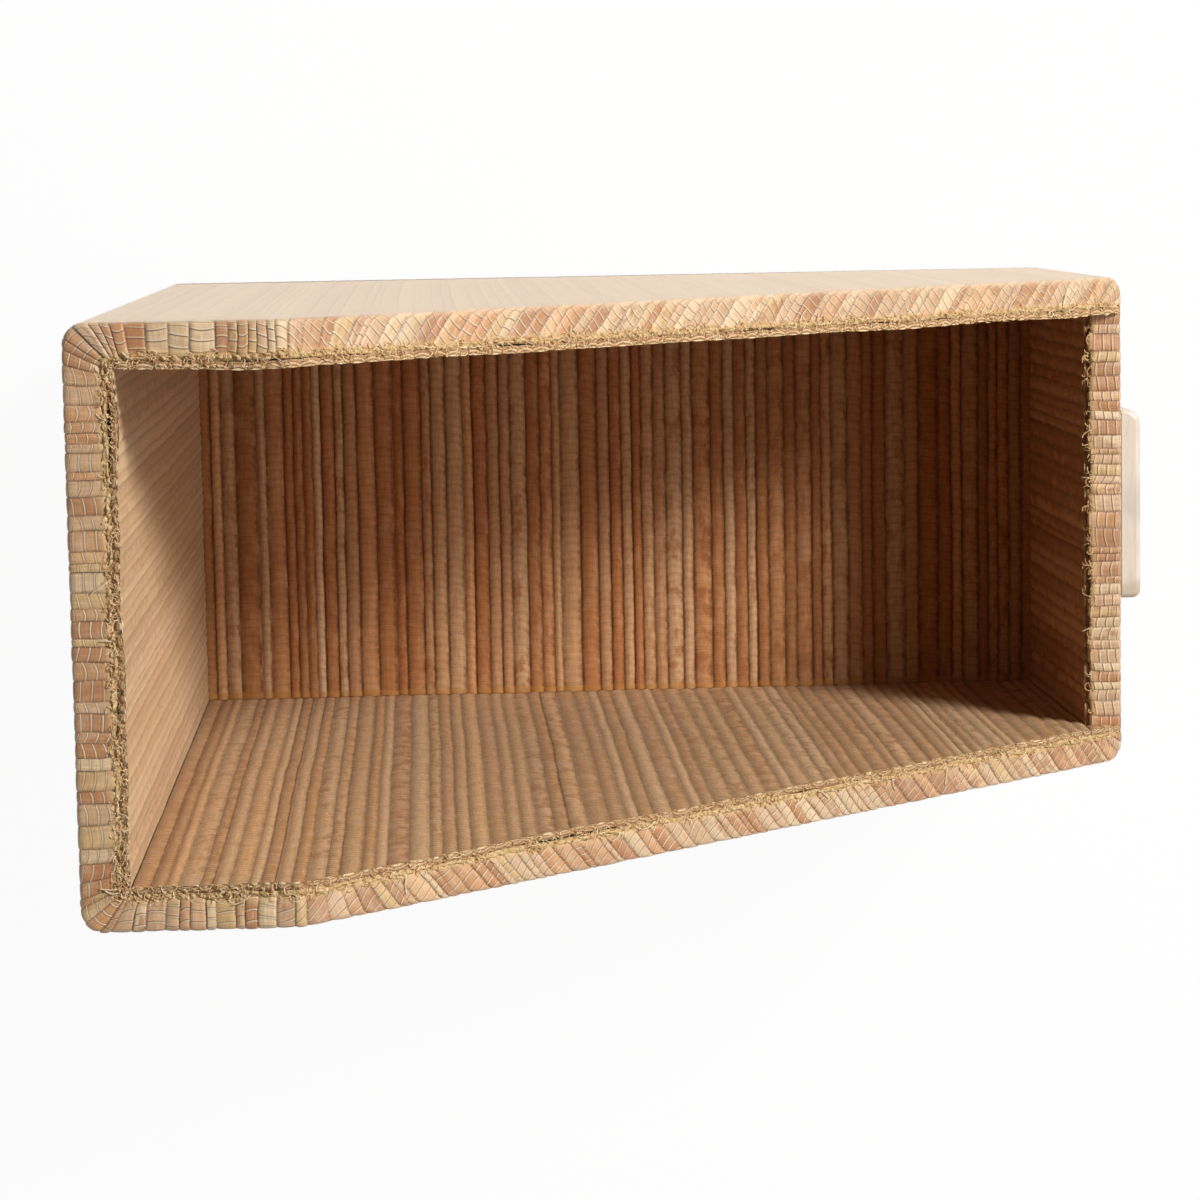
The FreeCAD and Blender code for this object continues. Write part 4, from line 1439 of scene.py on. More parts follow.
@dataclass(frozen=True)
class SawnReedEnds:
    """Cut ends of the lining's strips: a pale rind over curled layers, with painted shade in the gaps
    between them.
    """

    name: str = "cut_reed_ends"
    colours: tuple[str, str, str] = ("#8f6340", "#c49a6e", "#dcbb8e")
    rind: str = "#e6cc9e"
    # Colour of the painted shade in the gaps and holes.
    gap: str = "#2c1508"

    def build(self) -> bpy.types.Material:
        """Makes the material from the weave coordinates and the depth into the mat.

        With f the place across the strip and d the depth from the face, the layers are where
        d + 0.32 (2f - 1)^2 has the same value, which gives nested arches.

        Returns:
            The finished material.
        """
        material, tree, shader = new_finish(self.name)
        weave = add_node(tree, "ShaderNodeUVMap", {"uv_map": "weave"})
        split = add_node(tree, "ShaderNodeSeparateXYZ", {}, {0: weave})
        across = add_node(tree, "ShaderNodeMath", {"operation": "FRACT"}, {0: split})
        side = add_node(tree, "ShaderNodeMath", MULTIPLY_ADD, {0: across, 1: 2.0, 2: -1.0})
        bow = add_node(tree, "ShaderNodeMath", MULTIPLY, {0: side, 1: side})
        raw = add_node(tree, "ShaderNodeAttribute", {"attribute_name": "raw"})
        arch = add_node(tree, "ShaderNodeMath", MULTIPLY, {0: bow, 1: 0.32})
        depth = add_node(tree, "ShaderNodeMath", SUBTRACT, {0: arch, 1: raw.outputs["Fac"]})
        place = add_node(tree, "ShaderNodeTexCoord")
        # Pith and torn layers: grains of about 0.6 mm.
        grain = add_node(
            tree,
            "ShaderNodeTexNoise",
            {},
            {"Vector": place.outputs["Object"], "Scale": 1700.0, "Detail": 4.0, "Roughness": 0.7},
        )
        warped = add_node(tree, "ShaderNodeMath", MULTIPLY_ADD, {0: grain, 1: 0.3, 2: depth})
        layer = add_node(tree, "ShaderNodeMath", MULTIPLY, {0: warped, 1: 0.75})
        # The deepest layers, at the back edge of the cut end, turn to painted shade.
        colour = add_node(
            tree,
            "ShaderNodeValToRGB",
            {},
            {0: layer},
            stops=[
                (0.2, self.rind),
                (1.0, self.gap),
                (0.3, self.colours[2]),
                (0.36, self.colours[0]),
                (0.45, self.colours[1]),
                (0.58, self.colours[2]),
                (0.66, self.colours[0]),
                (0.78, self.colours[1]),
                (0.9, self.colours[1]),
            ],
        )
        # Painted shade in the holes between the torn layers.
        hole_shade = add_node(tree, "ShaderNodeMapRange", SMOOTH, {0: grain, 1: 0.34, 2: 0.43, 3: 0.75, 4: 0.0})
        hole_shaded = add_node(tree, "ShaderNodeMix", COLOURS, {0: hole_shade, 6: colour, 7: linear(self.gap)})
        # The layers stand out as ridges, three to the mat's thickness.
        ridge_at = add_node(tree, "ShaderNodeMath", MULTIPLY, {0: layer, 1: 16.0})
        ridge = add_node(tree, "ShaderNodeMath", {"operation": "SINE"}, {0: ridge_at})
        rough = add_node(tree, "ShaderNodeMath", MULTIPLY_ADD, {0: ridge, 1: 0.18, 2: grain})
        bump = add_node(tree, "ShaderNodeBump", {}, {"Strength": 0.9, "Distance": 0.0004, "Height": rough})
        shader.inputs["Roughness"].default_value = 0.85
        tree.links.new(hole_shaded.outputs[2], shader.inputs["Base Color"])
        tree.links.new(bump.outputs[0], shader.inputs["Normal"])
        return material


@dataclass(frozen=True)
class FibrousStuff:
    """Torn plant fibre, dried glue, cotton or felt: dull, flecked in two or three colours of one family.

    grain is the flecks' size in mm and stretch their shape. by_tone colours each fibre by its own chance,
    which the mesh holds as the attribute raw.
    """

    name: str
    colours: tuple[str, str, str]
    grain: float
    stretch: tuple[float, float, float] = (1.0, 1.0, 1.0)
    roughness: float = 0.85
    bump: float = 0.4
    by_tone: bool = False

    def build(self) -> bpy.types.Material:
        """Makes the material from noise at the grain's size in mm, stretched along the fibres.

        Returns:
            The finished material.
        """
        material, tree, shader = new_finish(self.name)
        place = add_node(tree, "ShaderNodeTexCoord")
        turned = add_node(
            tree, "ShaderNodeMapping", {}, {"Vector": place.outputs["Object"], "Scale": self.stretch}
        )
        noise = add_node(
            tree,
            "ShaderNodeTexNoise",
            {},
            {"Vector": turned, "Scale": 1.0 / (self.grain * MM), "Detail": 5.0, "Roughness": 0.7},
        )
        # Stems that carry a tone of their own are coloured half by it.
        tone = add_node(tree, "ShaderNodeAttribute", {"attribute_name": "raw"})
        own = add_node(
            tree, "ShaderNodeMapRange", {}, {0: tone.outputs["Fac"], 1: 0.0, 2: 1.0, 3: 0.25, 4: 0.75}
        )
        share = add_node(
            tree,
            "ShaderNodeMix",
            {"data_type": "FLOAT"},
            {0: 0.75 if self.by_tone else 0.0, 2: noise, 3: own},
        )
        colour = add_node(
            tree,
            "ShaderNodeValToRGB",
            {},
            {0: share},
            stops=[(0.3, self.colours[0]), (0.7, self.colours[2]), (0.5, self.colours[1])],
        )
        bump = add_node(
            tree, "ShaderNodeBump", {}, {"Strength": self.bump, "Distance": 0.0003, "Height": noise}
        )
        shader.inputs["Roughness"].default_value = self.roughness
        tree.links.new(colour.outputs[0], shader.inputs["Base Color"])
        tree.links.new(bump.outputs[0], shader.inputs["Normal"])
        return material


@dataclass(frozen=True)
class PolishedBone:
    """Sawn and polished bone: pale cream, faint lengthwise grain, a grey cloud and a brown worn end."""

    name: str = "polished_bone"
    colours: tuple[str, str, str] = ("#cdbfac", "#d4c9ba", "#d9d0c4")
    cloud: str = "#b7aba4"
    worn: str = "#a9997f"

    def build(self) -> bpy.types.Material:
        """Makes the material from stretched noise along the bar and two soft patches.

        Returns:
            The finished material.
        """
        material, tree, shader = new_finish(self.name)
        place = add_node(tree, "ShaderNodeTexCoord")
        along = add_node(
            tree,
            "ShaderNodeMapping",
            {},
            {"Vector": place.outputs["Object"], "Scale": (120.0, 900.0, 900.0)},
        )
        grain = add_node(tree, "ShaderNodeTexNoise", {}, {"Vector": along, "Scale": 1.0, "Detail": 4.0})
        colour = add_node(
            tree,
            "ShaderNodeValToRGB",
            {},
            {0: grain},
            stops=[(0.25, self.colours[0]), (0.8, self.colours[2]), (0.5, self.colours[1])],
        )
        drift = add_node(
            tree,
            "ShaderNodeTexNoise",
            {},
            {"Vector": place.outputs["Object"], "Scale": 170.0, "Detail": 3.0},
        )
        cloud_at = add_node(
            tree,
            "ShaderNodeVectorMath",
            {"operation": "DISTANCE"},
            {0: place.outputs["Object"], 1: (0.0, -0.1405, 0.0605)},
        )
        cloud_edge = add_node(
            tree, "ShaderNodeMath", MULTIPLY_ADD, {0: drift, 1: 0.008, 2: cloud_at.outputs["Value"]}
        )
        cloud = add_node(
            tree, "ShaderNodeMapRange", SMOOTH, {0: cloud_edge, 1: 0.005, 2: 0.013, 3: 0.55, 4: 0.0}
        )
        clouded = add_node(tree, "ShaderNodeMix", COLOURS, {0: cloud, 6: colour, 7: linear(self.cloud)})
        split = add_node(tree, "ShaderNodeSeparateXYZ", {}, {0: place.outputs["Object"]})
        end = add_node(tree, "ShaderNodeMath", MULTIPLY_ADD, {0: drift, 1: 0.006, 2: split})
        worn = add_node(tree, "ShaderNodeMapRange", SMOOTH, {0: end, 1: -0.021, 2: -0.0165, 3: 0.6, 4: 0.0})
        finished = add_node(
            tree, "ShaderNodeMix", COLOURS, {0: worn, 6: clouded.outputs[2], 7: linear(self.worn)}
        )
        bump = add_node(tree, "ShaderNodeBump", {}, {"Strength": 0.12, "Distance": 0.0002, "Height": grain})
        shader.inputs["Roughness"].default_value = 0.34
        shader.inputs["IOR"].default_value = 1.54
        shader.inputs["Subsurface Weight"].default_value = 0.15
        shader.inputs["Subsurface Radius"].default_value = (0.002, 0.0014, 0.001)
        tree.links.new(finished.outputs[2], shader.inputs["Base Color"])
        tree.links.new(bump.outputs[0], shader.inputs["Normal"])
        return material


@dataclass(frozen=True)
class SteelWire:
    """Drawn steel wire of the brads and screws: grey, with fine drawing marks along it."""

    name: str = "drawn_steel_wire"
    colour: str = "#b4b2ae"

    def build(self) -> bpy.types.Material:
        """Makes the material: metal with a slightly uneven roughness.

        Returns:
            The finished material.
        """
        material, tree, shader = new_finish(self.name)
        place = add_node(tree, "ShaderNodeTexCoord")
        marks = add_node(
            tree,
            "ShaderNodeTexNoise",
            {},
            {"Vector": place.outputs["Object"], "Scale": 2500.0, "Detail": 3.0},
        )
        gloss = add_node(tree, "ShaderNodeMapRange", {}, {0: marks, 1: 0.3, 2: 0.7, 3: 0.28, 4: 0.5})
        shader.inputs["Base Color"].default_value = linear(self.colour)
        shader.inputs["Metallic"].default_value = 1.0
        tree.links.new(gloss.outputs[0], shader.inputs["Roughness"])
        return material


@dataclass
class OuterMats:
    """The two outer mats: one wrapped round left side, back and right side, and one on the low front."""

    sizes: BoxSizes
    weave: Weave
    corner_round: float = 5.0
    fan_softness: float = 4.0
    lean_fade: float = 27.0
    back_slack: float = 1.0
    front_overlap: float = FRONT_OVERLAP

    def wrap_reach(self, outer: PlanPath, inner: PlanPath) -> Callable[[np.ndarray], np.ndarray]:
        """Where on the inner edge the strips of the wrap cover end.

        With c the distance from a back corner along the outer edge, the end lies at
        flap + w ln(1 + e^((c - flap) / w)) from the corner along the inner edge, so strips come together at
        the corner and run straight far from it. On the slope the end moves back by flap times the sine of
        the slope, and this fades out before the bend. Both halves of the wrap mirror each other.

        Args:
            outer: plan path of the outer edge.
            inner: plan path of the raw edge.

        Returns:
            The function from distances on the outer path to distances on the inner path.
        """
        sizes = self.sizes
        flap = sizes.flap
        seam = flap - self.corner_round + self.corner_round * np.pi / 2.0
        depth = 2.0 * sizes.half_depth + self.back_slack
        apex = seam + depth - 2.0 * self.corner_round + self.corner_round * np.pi / 4.0
        gap = self.corner_round - self.corner_round * np.pi / 4.0
        side = 2.0 * sizes.half_depth - flap
        slant = flap * np.sin(np.arctan(sizes.steepness))
        width = self.fan_softness
        start = width * np.log1p(np.exp((gap - flap) / width))

        def from_corner(c: np.ndarray) -> np.ndarray:
            """Distance of a strip's end from the inner corner, for distances c from the outer one."""
            open_fan = width * np.log1p(np.exp((c - flap) / width))
            return open_fan - start * np.exp(-(c - gap) / 3.0)

        def reach(s: np.ndarray) -> np.ndarray:
            """Places of the strips' ends on the inner path.

            Args:
                s: the strips' places on the outer path, in mm.

            Returns:
                Distances along the inner path, in mm.
            """
            near = np.minimum(s, outer.length - s)
            c = np.abs(apex - near) + gap
            c = c - np.where(near <= apex, self.back_slack * smooth_step(gap, 12.0, c), 0.0)
            y = sizes.half_depth - c
            fade = 1.0 - smooth_step(sizes.bend_y - self.lean_fade, sizes.bend_y + 3.0, y)
            on_side = side - from_corner(c) + slant * fade
            on_back = side + from_corner(c)
            here = np.where(near <= apex, on_side, on_back)
            first = depth - (apex - seam + gap) + slant
            here = np.where(near < seam, 1.5 + (first - 1.5) * near / seam, here)
            return np.where(s > outer.length / 2.0, inner.length - here, here)

        return reach

    def build(self, finishes: list[bpy.types.Material]) -> list[bpy.types.Object]:
        """Builds both outer mats.

        Args:
            finishes: materials for the faces and for the cut ends.

        Returns:
            The wrap cover and the front cover.
        """
        sizes = self.sizes
        x = sizes.half_width
        y = sizes.half_depth
        seam = x - sizes.flap
        back = y - sizes.flap
        rear = y + self.back_slack
        walls = [(-seam, -y), (-x, -y), (-x, rear), (x, rear), (x, -y), (seam, -y)]
        outer = PlanPath(walls, self.corner_round)
        inner = PlanPath([(-seam, -y), (-seam, back), (seam, back), (seam, -y)])
        wrap = FoldedMat(
            "wrap_cover_mat", sizes, self.weave, outer, inner, self.wrap_reach(outer, inner), seed=3
        ).build(finishes)
        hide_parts("wrap_cover")
        edge = PlanPath([(seam, -y), (-seam, -y)])
        raw = PlanPath([(seam, self.front_overlap - back), (-seam, self.front_overlap - back)])
        front = FoldedMat(
            "front_cover_mat", sizes, self.weave, edge, raw, lambda s: s, level_rim=True, seed=7, wall_rows=8
        ).build(finishes)
        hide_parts("front_cover")
        return [wrap, front]


@dataclass
class Linings:
    """The five inner mats: floor, back, front and the two sloping sides with their short front tongues."""

    sizes: BoxSizes
    floor_weave: Weave
    wall_weave: Weave
    back_weave: Weave
    front_short: float = 1.9
    tongue_back: float = 0.9
    tongue_sunk: float = 0.1
    tongue_over: float = 0.25

    def side_top(self, start: float) -> Callable[[np.ndarray], np.ndarray]:
        """Height of a side lining over the floor, for distances back from the start."""
        return lambda s: self.sizes.rim_height(start + s) - self.sizes.lining_top - self.sizes.floor_top

    def build(self, faces: dict[str, bpy.types.Material], cut: bpy.types.Material) -> list[bpy.types.Object]:
        """Builds the five linings and the two tongues.

        Args:
            faces: material of each lining's face by the name of its node.
            cut: material of the cut ends.

        Returns:
            The lining objects.
        """
        sizes = self.sizes
        x = sizes.room_half_width
        y = sizes.room_half_depth
        wall = sizes.lining
        floor = sizes.floor_top
        wide = 2.0 * (x + wall)
        deep = 2.0 * y
        back_height = sizes.back_height - sizes.lining_top - floor
        front_height = sizes.front_height - sizes.lining_top - floor
        tongue_start = -sizes.half_depth + self.tongue_back
        tongue_foot = sizes.front_height - self.tongue_sunk
        made = {
            "base_lining": LiningMat(
                "base_lining_mat",
                self.floor_weave,
                (-x - wall, -y - wall, floor),
                BACKWARD,
                RIGHT,
                UP,
                2.0 * (y + wall),
                lambda s: np.full_like(s, wide),
                seed=1,
                rows=180,
                foot_glue=True,
            ),
            "back_lining": LiningMat(
                "back_lining_mat",
                self.back_weave,
                (-x - wall, y, floor),
                RIGHT,
                UP,
                FORWARD,
                wide,
                lambda s: np.full_like(s, back_height),
                seed=2,
                rows=250,
                lean=0.7,
            ),
            "front_lining": LiningMat(
                "front_lining_mat",
                self.wall_weave,
                (-x - wall, -y, floor),
                RIGHT,
                UP,
                BACKWARD,
                wide,
                lambda s: np.full_like(s, front_height - self.front_short),
                seed=3,
                rows=130,
                lean=0.0,
            ),
            "left_side_lining": LiningMat(
                "left_side_lining_mat",
                self.wall_weave,
                (-x, -y, floor),
                BACKWARD,
                UP,
                RIGHT,
                deep,
                self.side_top(-y),
                seed=4,
                rows=150,
                crowding=1.5,
                lean=0.6,
            ),
            "right_side_lining": LiningMat(
                "right_side_lining_mat",
                self.wall_weave,
                (x, -y, floor),
                BACKWARD,
                UP,
                LEFT,
                deep,
                self.side_top(-y),
                seed=5,
                rows=110,
                crowding=1.5,
                lean=0.6,
                droop=(205.0, 10.0, 0.6),
            ),
        }
        pieces = []
        for node, mat in made.items():
            piece = mat.build([faces[node], cut])
            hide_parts(node)
            pieces.append(piece)
        for side, sign in (("left", -1.0), ("right", 1.0)):
            mat = LiningMat(
                f"{side}_side_lining_tongue",
                self.wall_weave,
                (sign * x, tongue_start, tongue_foot),
                BACKWARD,
                UP,
                (-sign, 0.0, 0.0),
                -y - tongue_start,
                lambda s: (
                    sizes.rim_height(tongue_start + s) - sizes.lining_top - tongue_foot + self.tongue_over
                ),
                seed=6,
                rows=24,
                curl=0.2,
                lean=0.0,
            )
            piece = mat.build([faces[f"{side}_side_lining"], cut])
            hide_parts(f"{side}_side_lining")
            pieces.append(piece)
        return pieces


@dataclass
class Studio:
    """Camera at the photograph's angle, one soft key lamp, pale surroundings and a white floor."""

    eye: tuple[float, float, float] = (0.08980861, 0.05323889, 1.04880646)
    ahead: tuple[float, float, float] = (-0.11352798, -0.04577485, -0.99247975)
    image_right: tuple[float, float, float] = (-0.01771733, -0.99868597, 0.04808774)
    lens: float = 109.6
    key_from: tuple[float, float, float] = (0.443, -0.605, 0.662)
    key_distance: float = 1.5
    key_size: float = 0.34
    key_power: float = 21.8
    fill_from: tuple[float, float, float] = (0.08, -0.72, 0.69)
    fill_distance: float = 1.7
    fill_size: float = 1.2
    fill_power: float = 9.0
    rear_from: tuple[float, float, float] = (-0.55, 0.8, 0.16)
    rear_distance: float = 1.7
    rear_size: float = 1.0
    rear_power: float = 8.0
    sky: float = 0.048
    floor_show: float = 0.95
    floor_half: float = 3000.0
    floor_cells: int = 8
    floor_drop: float = 0.05

    def build_camera(self) -> bpy.types.Object:
        """Sets the camera with its right, up and back directions as the columns of its matrix.

        Returns:
            The camera.
        """
        data = bpy.data.cameras.new("camera")
        data.lens = self.lens
        data.sensor_width = 36.0
        data.clip_start = 0.05
        data.clip_end = 50.0
        camera = bpy.data.objects.new("camera", data)
        bpy.context.scene.collection.objects.link(camera)
        back = -Vector(self.ahead).normalized()
        right = Vector(self.image_right)
        right = (right - back * right.dot(back)).normalized()
        up = back.cross(right)
        turn = Matrix((right, up, back)).transposed().to_4x4()
        camera.matrix_world = Matrix.Translation(Vector(self.eye)) @ turn
        bpy.context.scene.camera = camera
        return camera

    def build_lamps(self) -> None:
        """Hangs the soft key lamp at the right, a wide weak one, and a low one for the far sides."""
        self.hang("key_lamp", self.key_from, self.key_distance, self.key_size, self.key_power)
        self.hang("fill_lamp", self.fill_from, self.fill_distance, self.fill_size, self.fill_power)
        self.hang("rear_lamp", self.rear_from, self.rear_distance, self.rear_size, self.rear_power)

    @staticmethod
    def hang(
        name: str, origin: tuple[float, float, float], distance: float, size: float, power: float
    ) -> bpy.types.Object:
        """Hangs one square soft lamp that faces the middle of the box.

        Args:
            name: the lamp's name.
            origin: direction from the box to the lamp.
            distance: how far off it hangs, in metres.
            size: side of its square, in metres.
            power: its power in watts.

        Returns:
            The lamp.
        """
        data = bpy.data.lights.new(name, "AREA")
        data.shape = "SQUARE"
        data.size = size
        data.energy = power
        lamp = bpy.data.objects.new(name, data)
        bpy.context.scene.collection.objects.link(lamp)
        direction = Vector(origin).normalized()
        lamp.location = Vector((0.0, 0.0, 0.15)) + direction * distance
        lamp.rotation_euler = direction.to_track_quat("Z", "Y").to_euler()
        return lamp

    def build_world(self) -> None:
        """Pale even surroundings: weak light on the box, white where a camera or reflection sees them."""
        world = bpy.data.worlds.new("studio_world")
        bpy.context.scene.world = world
        world.use_nodes = True
        tree = world.node_tree
        tree.nodes.clear()
        seen = self._seen(tree)
        lighting = add_node(tree, "ShaderNodeBackground", {}, {0: (1.0, 1.0, 1.0, 1.0), 1: self.sky})
        shown = add_node(tree, "ShaderNodeBackground", {}, {0: (1.0, 1.0, 1.0, 1.0), 1: 1.0})
        mixed = add_node(tree, "ShaderNodeMixShader", {}, {0: seen, 1: lighting, 2: shown})
        add_node(tree, "ShaderNodeOutputWorld", {}, {0: mixed})

    @staticmethod
    def _seen(tree: bpy.types.NodeTree) -> Socket:
        """One where a camera, glossy or transmission ray arrives, else zero.

        Args:
            tree: the node tree that gets the nodes.

        Returns:
            The socket.
        """
        path = add_node(tree, "ShaderNodeLightPath")
        gloss = add_node(
            tree,
            "ShaderNodeMath",
            MAXIMUM,
            {0: path.outputs["Is Camera Ray"], 1: path.outputs["Is Glossy Ray"]},
        )
        both = add_node(tree, "ShaderNodeMath", MAXIMUM, {0: gloss, 1: path.outputs["Is Transmission Ray"]})
        return both.outputs[0]

    def build_floor(self) -> bpy.types.Object:
        """Lays the white floor, which shows as white and keeps a faint shadow of the box.

        Returns:
            The floor.
        """
        across = self.floor_cells + 1
        grid = np.linspace(-self.floor_half, self.floor_half, across)
        x, y = np.meshgrid(grid, grid)
        points = np.stack([x.ravel(), y.ravel(), np.full(x.size, -self.floor_drop)], axis=1)
        cell = np.arange(self.floor_cells)
        row, column = np.meshgrid(cell, cell, indexing="ij")
        first = (row * across + column).ravel()
        corners = np.stack([first, first + 1, first + across + 1, first + across], axis=1)
        mesh = bpy.data.meshes.new("studio_floor")
        mesh.from_pydata((points * MM).tolist(), [], corners.tolist())
        mesh.update()
        floor = bpy.data.objects.new("studio_floor", mesh)
        bpy.context.scene.collection.objects.link(floor)
        material, tree, shader = new_finish("painted_studio_floor")
        shader.inputs["Base Color"].default_value = linear("#f4f3f1")
        shader.inputs["Roughness"].default_value = 0.9
        glow = add_node(tree, "ShaderNodeEmission", {}, {0: (1.0, 1.0, 1.0, 1.0), 1: 1.0})
        share = add_node(tree, "ShaderNodeMath", MULTIPLY, {0: self._seen(tree), 1: self.floor_show})
        mixed = add_node(tree, "ShaderNodeMixShader", {}, {0: share, 1: shader, 2: glow})
        output = next(n for n in tree.nodes if n.type == "OUTPUT_MATERIAL")
        tree.links.new(mixed.outputs[0], output.inputs["Surface"])
        mesh.materials.append(material)
        return floor


OUTER_REED = WovenReed(
    name="outer_woven_reed",
    palette=(
        "#bf895c", "#d7ae84", "#debd93", "#c8976a", "#d5ad86",
        "#b98052", "#e0c197", "#cda875", "#c59062", "#d2a678",
    ),
    thread="#f0dcba",
    groove="#5f3b20",
    stain="#a66f48",
    bloom="#d9b99a",
    bloom_most=0.35,
    glue="#d0ab76",
    thread_width=0.33,
    thread_show=0.7,
    glue_reach=1.5,
    roughness=0.42,
    weave_bump=0.5,
    gloss_level=0.5,
    groove_shade_dark=0.7,
    wall_groove=0.05,
    thread_shade_dark=0.75,
    side_shade_dark=0.08,
    groove_shade_width=0.12,
    scallop=0.025,
    mottle=0.06,
    nap=0.2,
    wall_thread=0.0,
    wall_sheen=0.8,
    wall_sheen_tone="#dfc19e",
    fuzz=0.36,
    fuzz_tint="#fff2e0",
)
FLOOR_REED = WovenReed(
    name="inner_woven_reed_floor",
    palette=(
        "#b97d4b", "#c39064", "#cea276", "#b57848", "#c7996c",
        "#b07142", "#d2ac83", "#bd8556", "#c89464",
    ),
    thread="#d0a06a",
    groove="#4a250e",
    stain="#a2653a",
    bloom="#c69a74",
    bloom_most=0.3,
    glue="#bd8440",
    thread_width=0.6,
    thread_show=0.08,
    glue_reach=1.1,
    roughness=0.68,
    weave_bump=0.35,
    gloss_level=0.2,
    groove_shade_dark=0.66,
    wall_groove=1.0,
    thread_shade_dark=0.15,
    side_shade_dark=0.22,
    groove_shade_width=0.26,
    scallop=0.035,
    mottle=0.07,
    nap=0.3,
    wall_thread=1.0,
    wall_sheen=0.0,
    wall_sheen_tone="#b0733e",
    fuzz=0.05,
    fuzz_tint="#ffe0b8",
)
SIDE_REED = replace(
    FLOOR_REED,
    name="inner_woven_reed_sides",
    palette=("#c6945f", "#d2a472", "#d9af80", "#c39263", "#d4aa7c", "#be8c58", "#cea06e"),
    stain="#a56b3e",
    bloom="#c7a287",
    bloom_most=0.5,
    glue="#c89c5a",
    groove_shade_dark=0.4,
    groove_shade_width=0.3,
    scallop=0.02,
    side_shade_dark=0.24,
    thread_shade_dark=0.04,
    mottle=0.17,
    nap=1.4,
    weave_bump=0.7,
    glue_reach=1.0,
    fuzz=0.22,
)
BACK_REED = replace(
    SIDE_REED,
    name="inner_woven_reed_back",
    palette=("#c6976c", "#d2a87a", "#d8b186", "#c69a6e", "#cfa880"),
    bloom_most=0.2,
    groove_shade_dark=0.3,
    groove_shade_width=0.3,
    side_shade_dark=0.12,
    mottle=0.14,
    nap=1.0,
    fuzz=0.75,
)
FRONT_REED = replace(
    SIDE_REED,
    name="inner_woven_reed_front",
    palette=("#b4825a", "#c09069", "#c89b75", "#b3835e", "#c39772", "#ae7c55", "#bd8f69"),
    groove_shade_dark=0.35,
    side_shade_dark=0.15,
    mottle=0.1,
    nap=0.5,
    fuzz=0.1,
)
CUT_REED = SawnReedEnds()
TORN_FIBRE = FibrousStuff("torn_reed_fibre", ("#b78453", "#dfb882", "#f5e1ba"), 1.6, by_tone=True)
DRIED_GLUE = FibrousStuff("dried_glue_and_fluff", ("#8f6a42", "#cba873", "#e5cfa2"), 0.9, bump=0.8)
COTTON = FibrousStuff("cotton_weft_thread", ("#cdb48a", "#e2cda6", "#efe0c3"), 1.2)
FIBRE_BOARD = FibrousStuff("fibre_board", ("#8a6a49", "#a5835d", "#b99a75"), 2.0, (1.0, 1.0, 4.0), 0.8)
WOOL_FELT = FibrousStuff("wool_felt", ("#553f2c", "#6b5138", "#7d6247"), 1.1, roughness=0.95, bump=0.8)

NODE_FINISHES = {
    "base_panel": FIBRE_BOARD,
    "back_panel": FIBRE_BOARD,
    "front_panel": FIBRE_BOARD,
    "left_side_panel": FIBRE_BOARD,
    "right_side_panel": FIBRE_BOARD,
    "side_brads": SteelWire(),
    "end_brads": SteelWire(),
    "pull_screws": SteelWire(),
    "underside_cover": WOOL_FELT,
    "pull": PolishedBone(),
}

OUTER_WEAVE = Weave(
    strip_mean=3.1, strip_least=1.4, strip_most=5.6, crown=0.2, groove=0.5, lift=0.22, tilt=0.24,
    ridge=0.12, bulge=0.06, seed=5,
)
FLOOR_WEAVE = Weave(
    strip_mean=3.7, strip_least=1.9, strip_most=5.4, crown=0.5, groove=0.72, lift=0.22, tilt=0.35,
    ridge=0.0, bulge=0.08, seed=9,
)
WALL_WEAVE = Weave(
    strip_mean=3.6, strip_least=2.2, strip_most=4.9, crown=0.34, groove=0.28, lift=0.1, tilt=0.3,
    ridge=0.0, bulge=0.08, seed=9,
)
BACK_WEAVE = Weave(
    strip_mean=2.5, strip_least=1.5, strip_most=3.4, crown=0.22, groove=0.26, lift=0.06, tilt=0.16,
    ridge=0.0, bulge=0.03, seed=9,
)


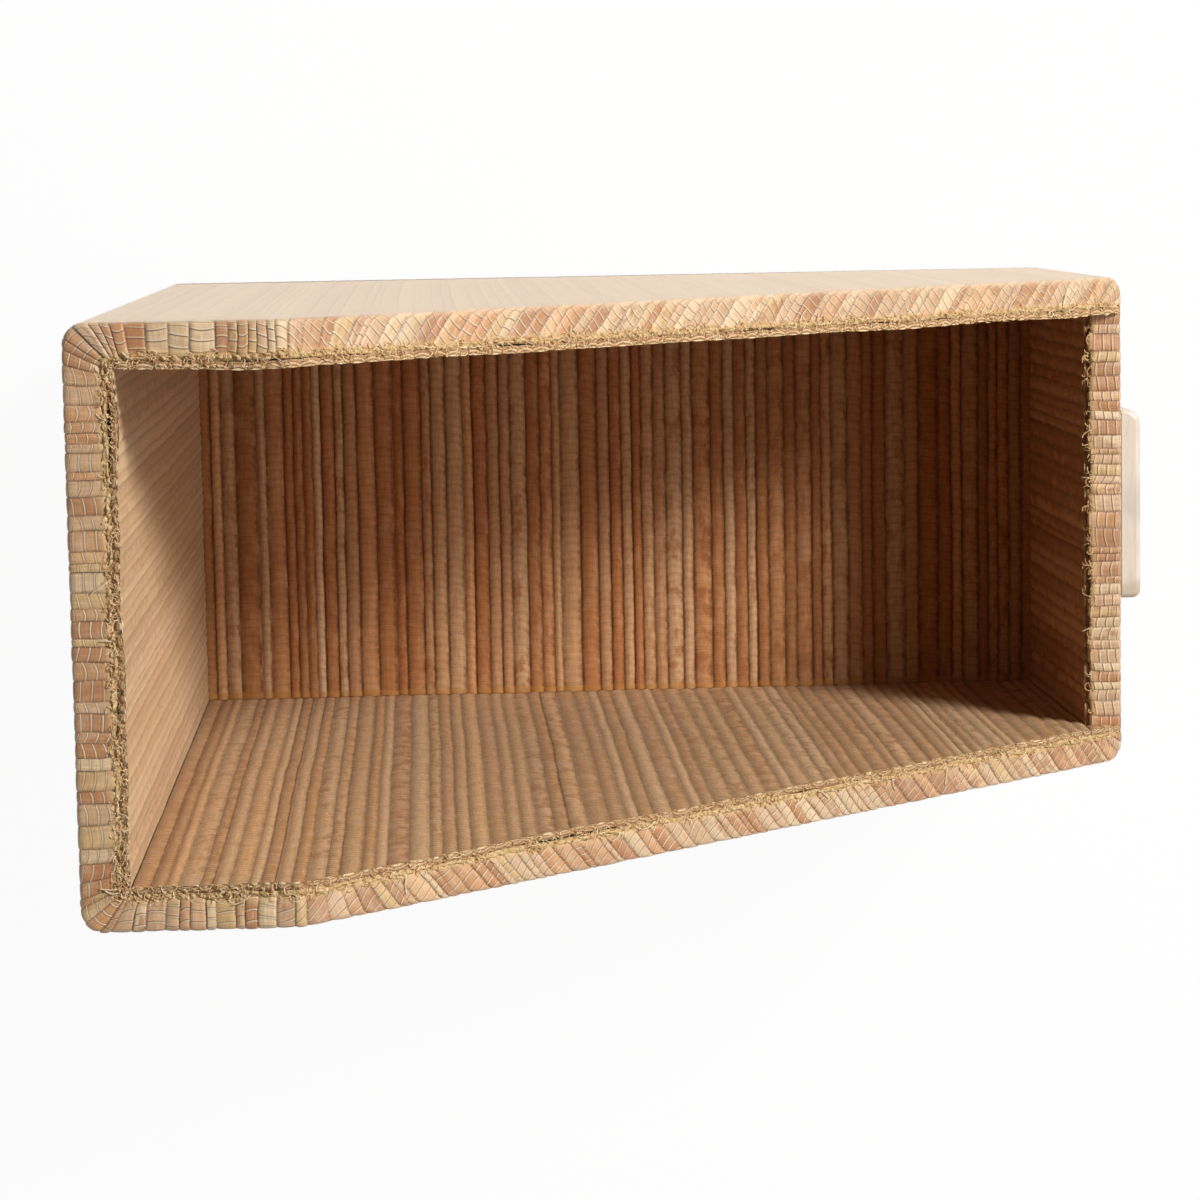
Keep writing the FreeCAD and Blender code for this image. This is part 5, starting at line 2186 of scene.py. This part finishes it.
def dress_nodes(nodes: dict[str, bpy.types.Object]) -> None:
    """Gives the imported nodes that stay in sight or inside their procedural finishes.

    Args:
        nodes: the frame's nodes by name.
    """
    built = {}
    for name, finish in NODE_FINISHES.items():
        if finish.name not in built:
            built[finish.name] = finish.build()
        for slot in nodes[name].material_slots:
            slot.material = built[finish.name]
        LOG.info("%s: %s", name, finish.name)


def main() -> None:
    """Builds the box's mats round the frame, its finishes, camera, light and floor."""
    logging.basicConfig(level=logging.INFO, format="%(name)s: %(message)s")
    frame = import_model()
    bpy.context.scene.view_settings.view_transform = "Standard"
    studio = Studio()
    studio.build_camera()
    studio.build_lamps()
    studio.build_world()
    studio.build_floor()
    sizes = BoxSizes.from_frame()
    dress_nodes(frame["nodes"])
    cut = CUT_REED.build()
    pieces = OuterMats(sizes, OUTER_WEAVE).build([OUTER_REED.build(), cut])
    side_face = SIDE_REED.build()
    faces = {
        "base_lining": FLOOR_REED.build(),
        "back_lining": BACK_REED.build(),
        "front_lining": FRONT_REED.build(),
        "left_side_lining": side_face,
        "right_side_lining": side_face,
    }
    pieces += Linings(sizes, FLOOR_WEAVE, WALL_WEAVE, BACK_WEAVE).build(faces, cut)
    edge = RawEdge(sizes)
    torn = TORN_FIBRE.build()
    cotton = COTTON.build()
    rim_edge = edge.rim_line(0.0)
    fibres = edge.build_fibres(
        "flap_edge_fibres", rim_edge, inset=-0.1, spread=0.45, count=4600, seed=3, finish=torn
    )
    pieces.append(fibres)
    fibres = edge.build_fibres(
        "lining_edge_fibres", rim_edge, inset=1.6, spread=0.55, count=3600, seed=4, finish=torn
    )
    pieces.append(fibres)
    fibres = edge.build_fibres(
        "front_edge_fibres", edge.front_line(), inset=-0.2, spread=0.3, count=260, seed=6, finish=torn
    )
    pieces.append(fibres)
    pieces.append(edge.build_strays(cotton))
    glue = DRIED_GLUE.build()
    ribbon = edge.build_glue("flap_edge_glue", inset=0.05, width=0.8, rise=-0.5, seed=5, finish=glue)
    pieces.append(ribbon)
    pieces.append(edge.build_loops(torn))
    for piece in pieces:
        LOG.info("%s: %d faces", piece.name, len(piece.data.polygons))


if __name__ == "__main__":
    main()
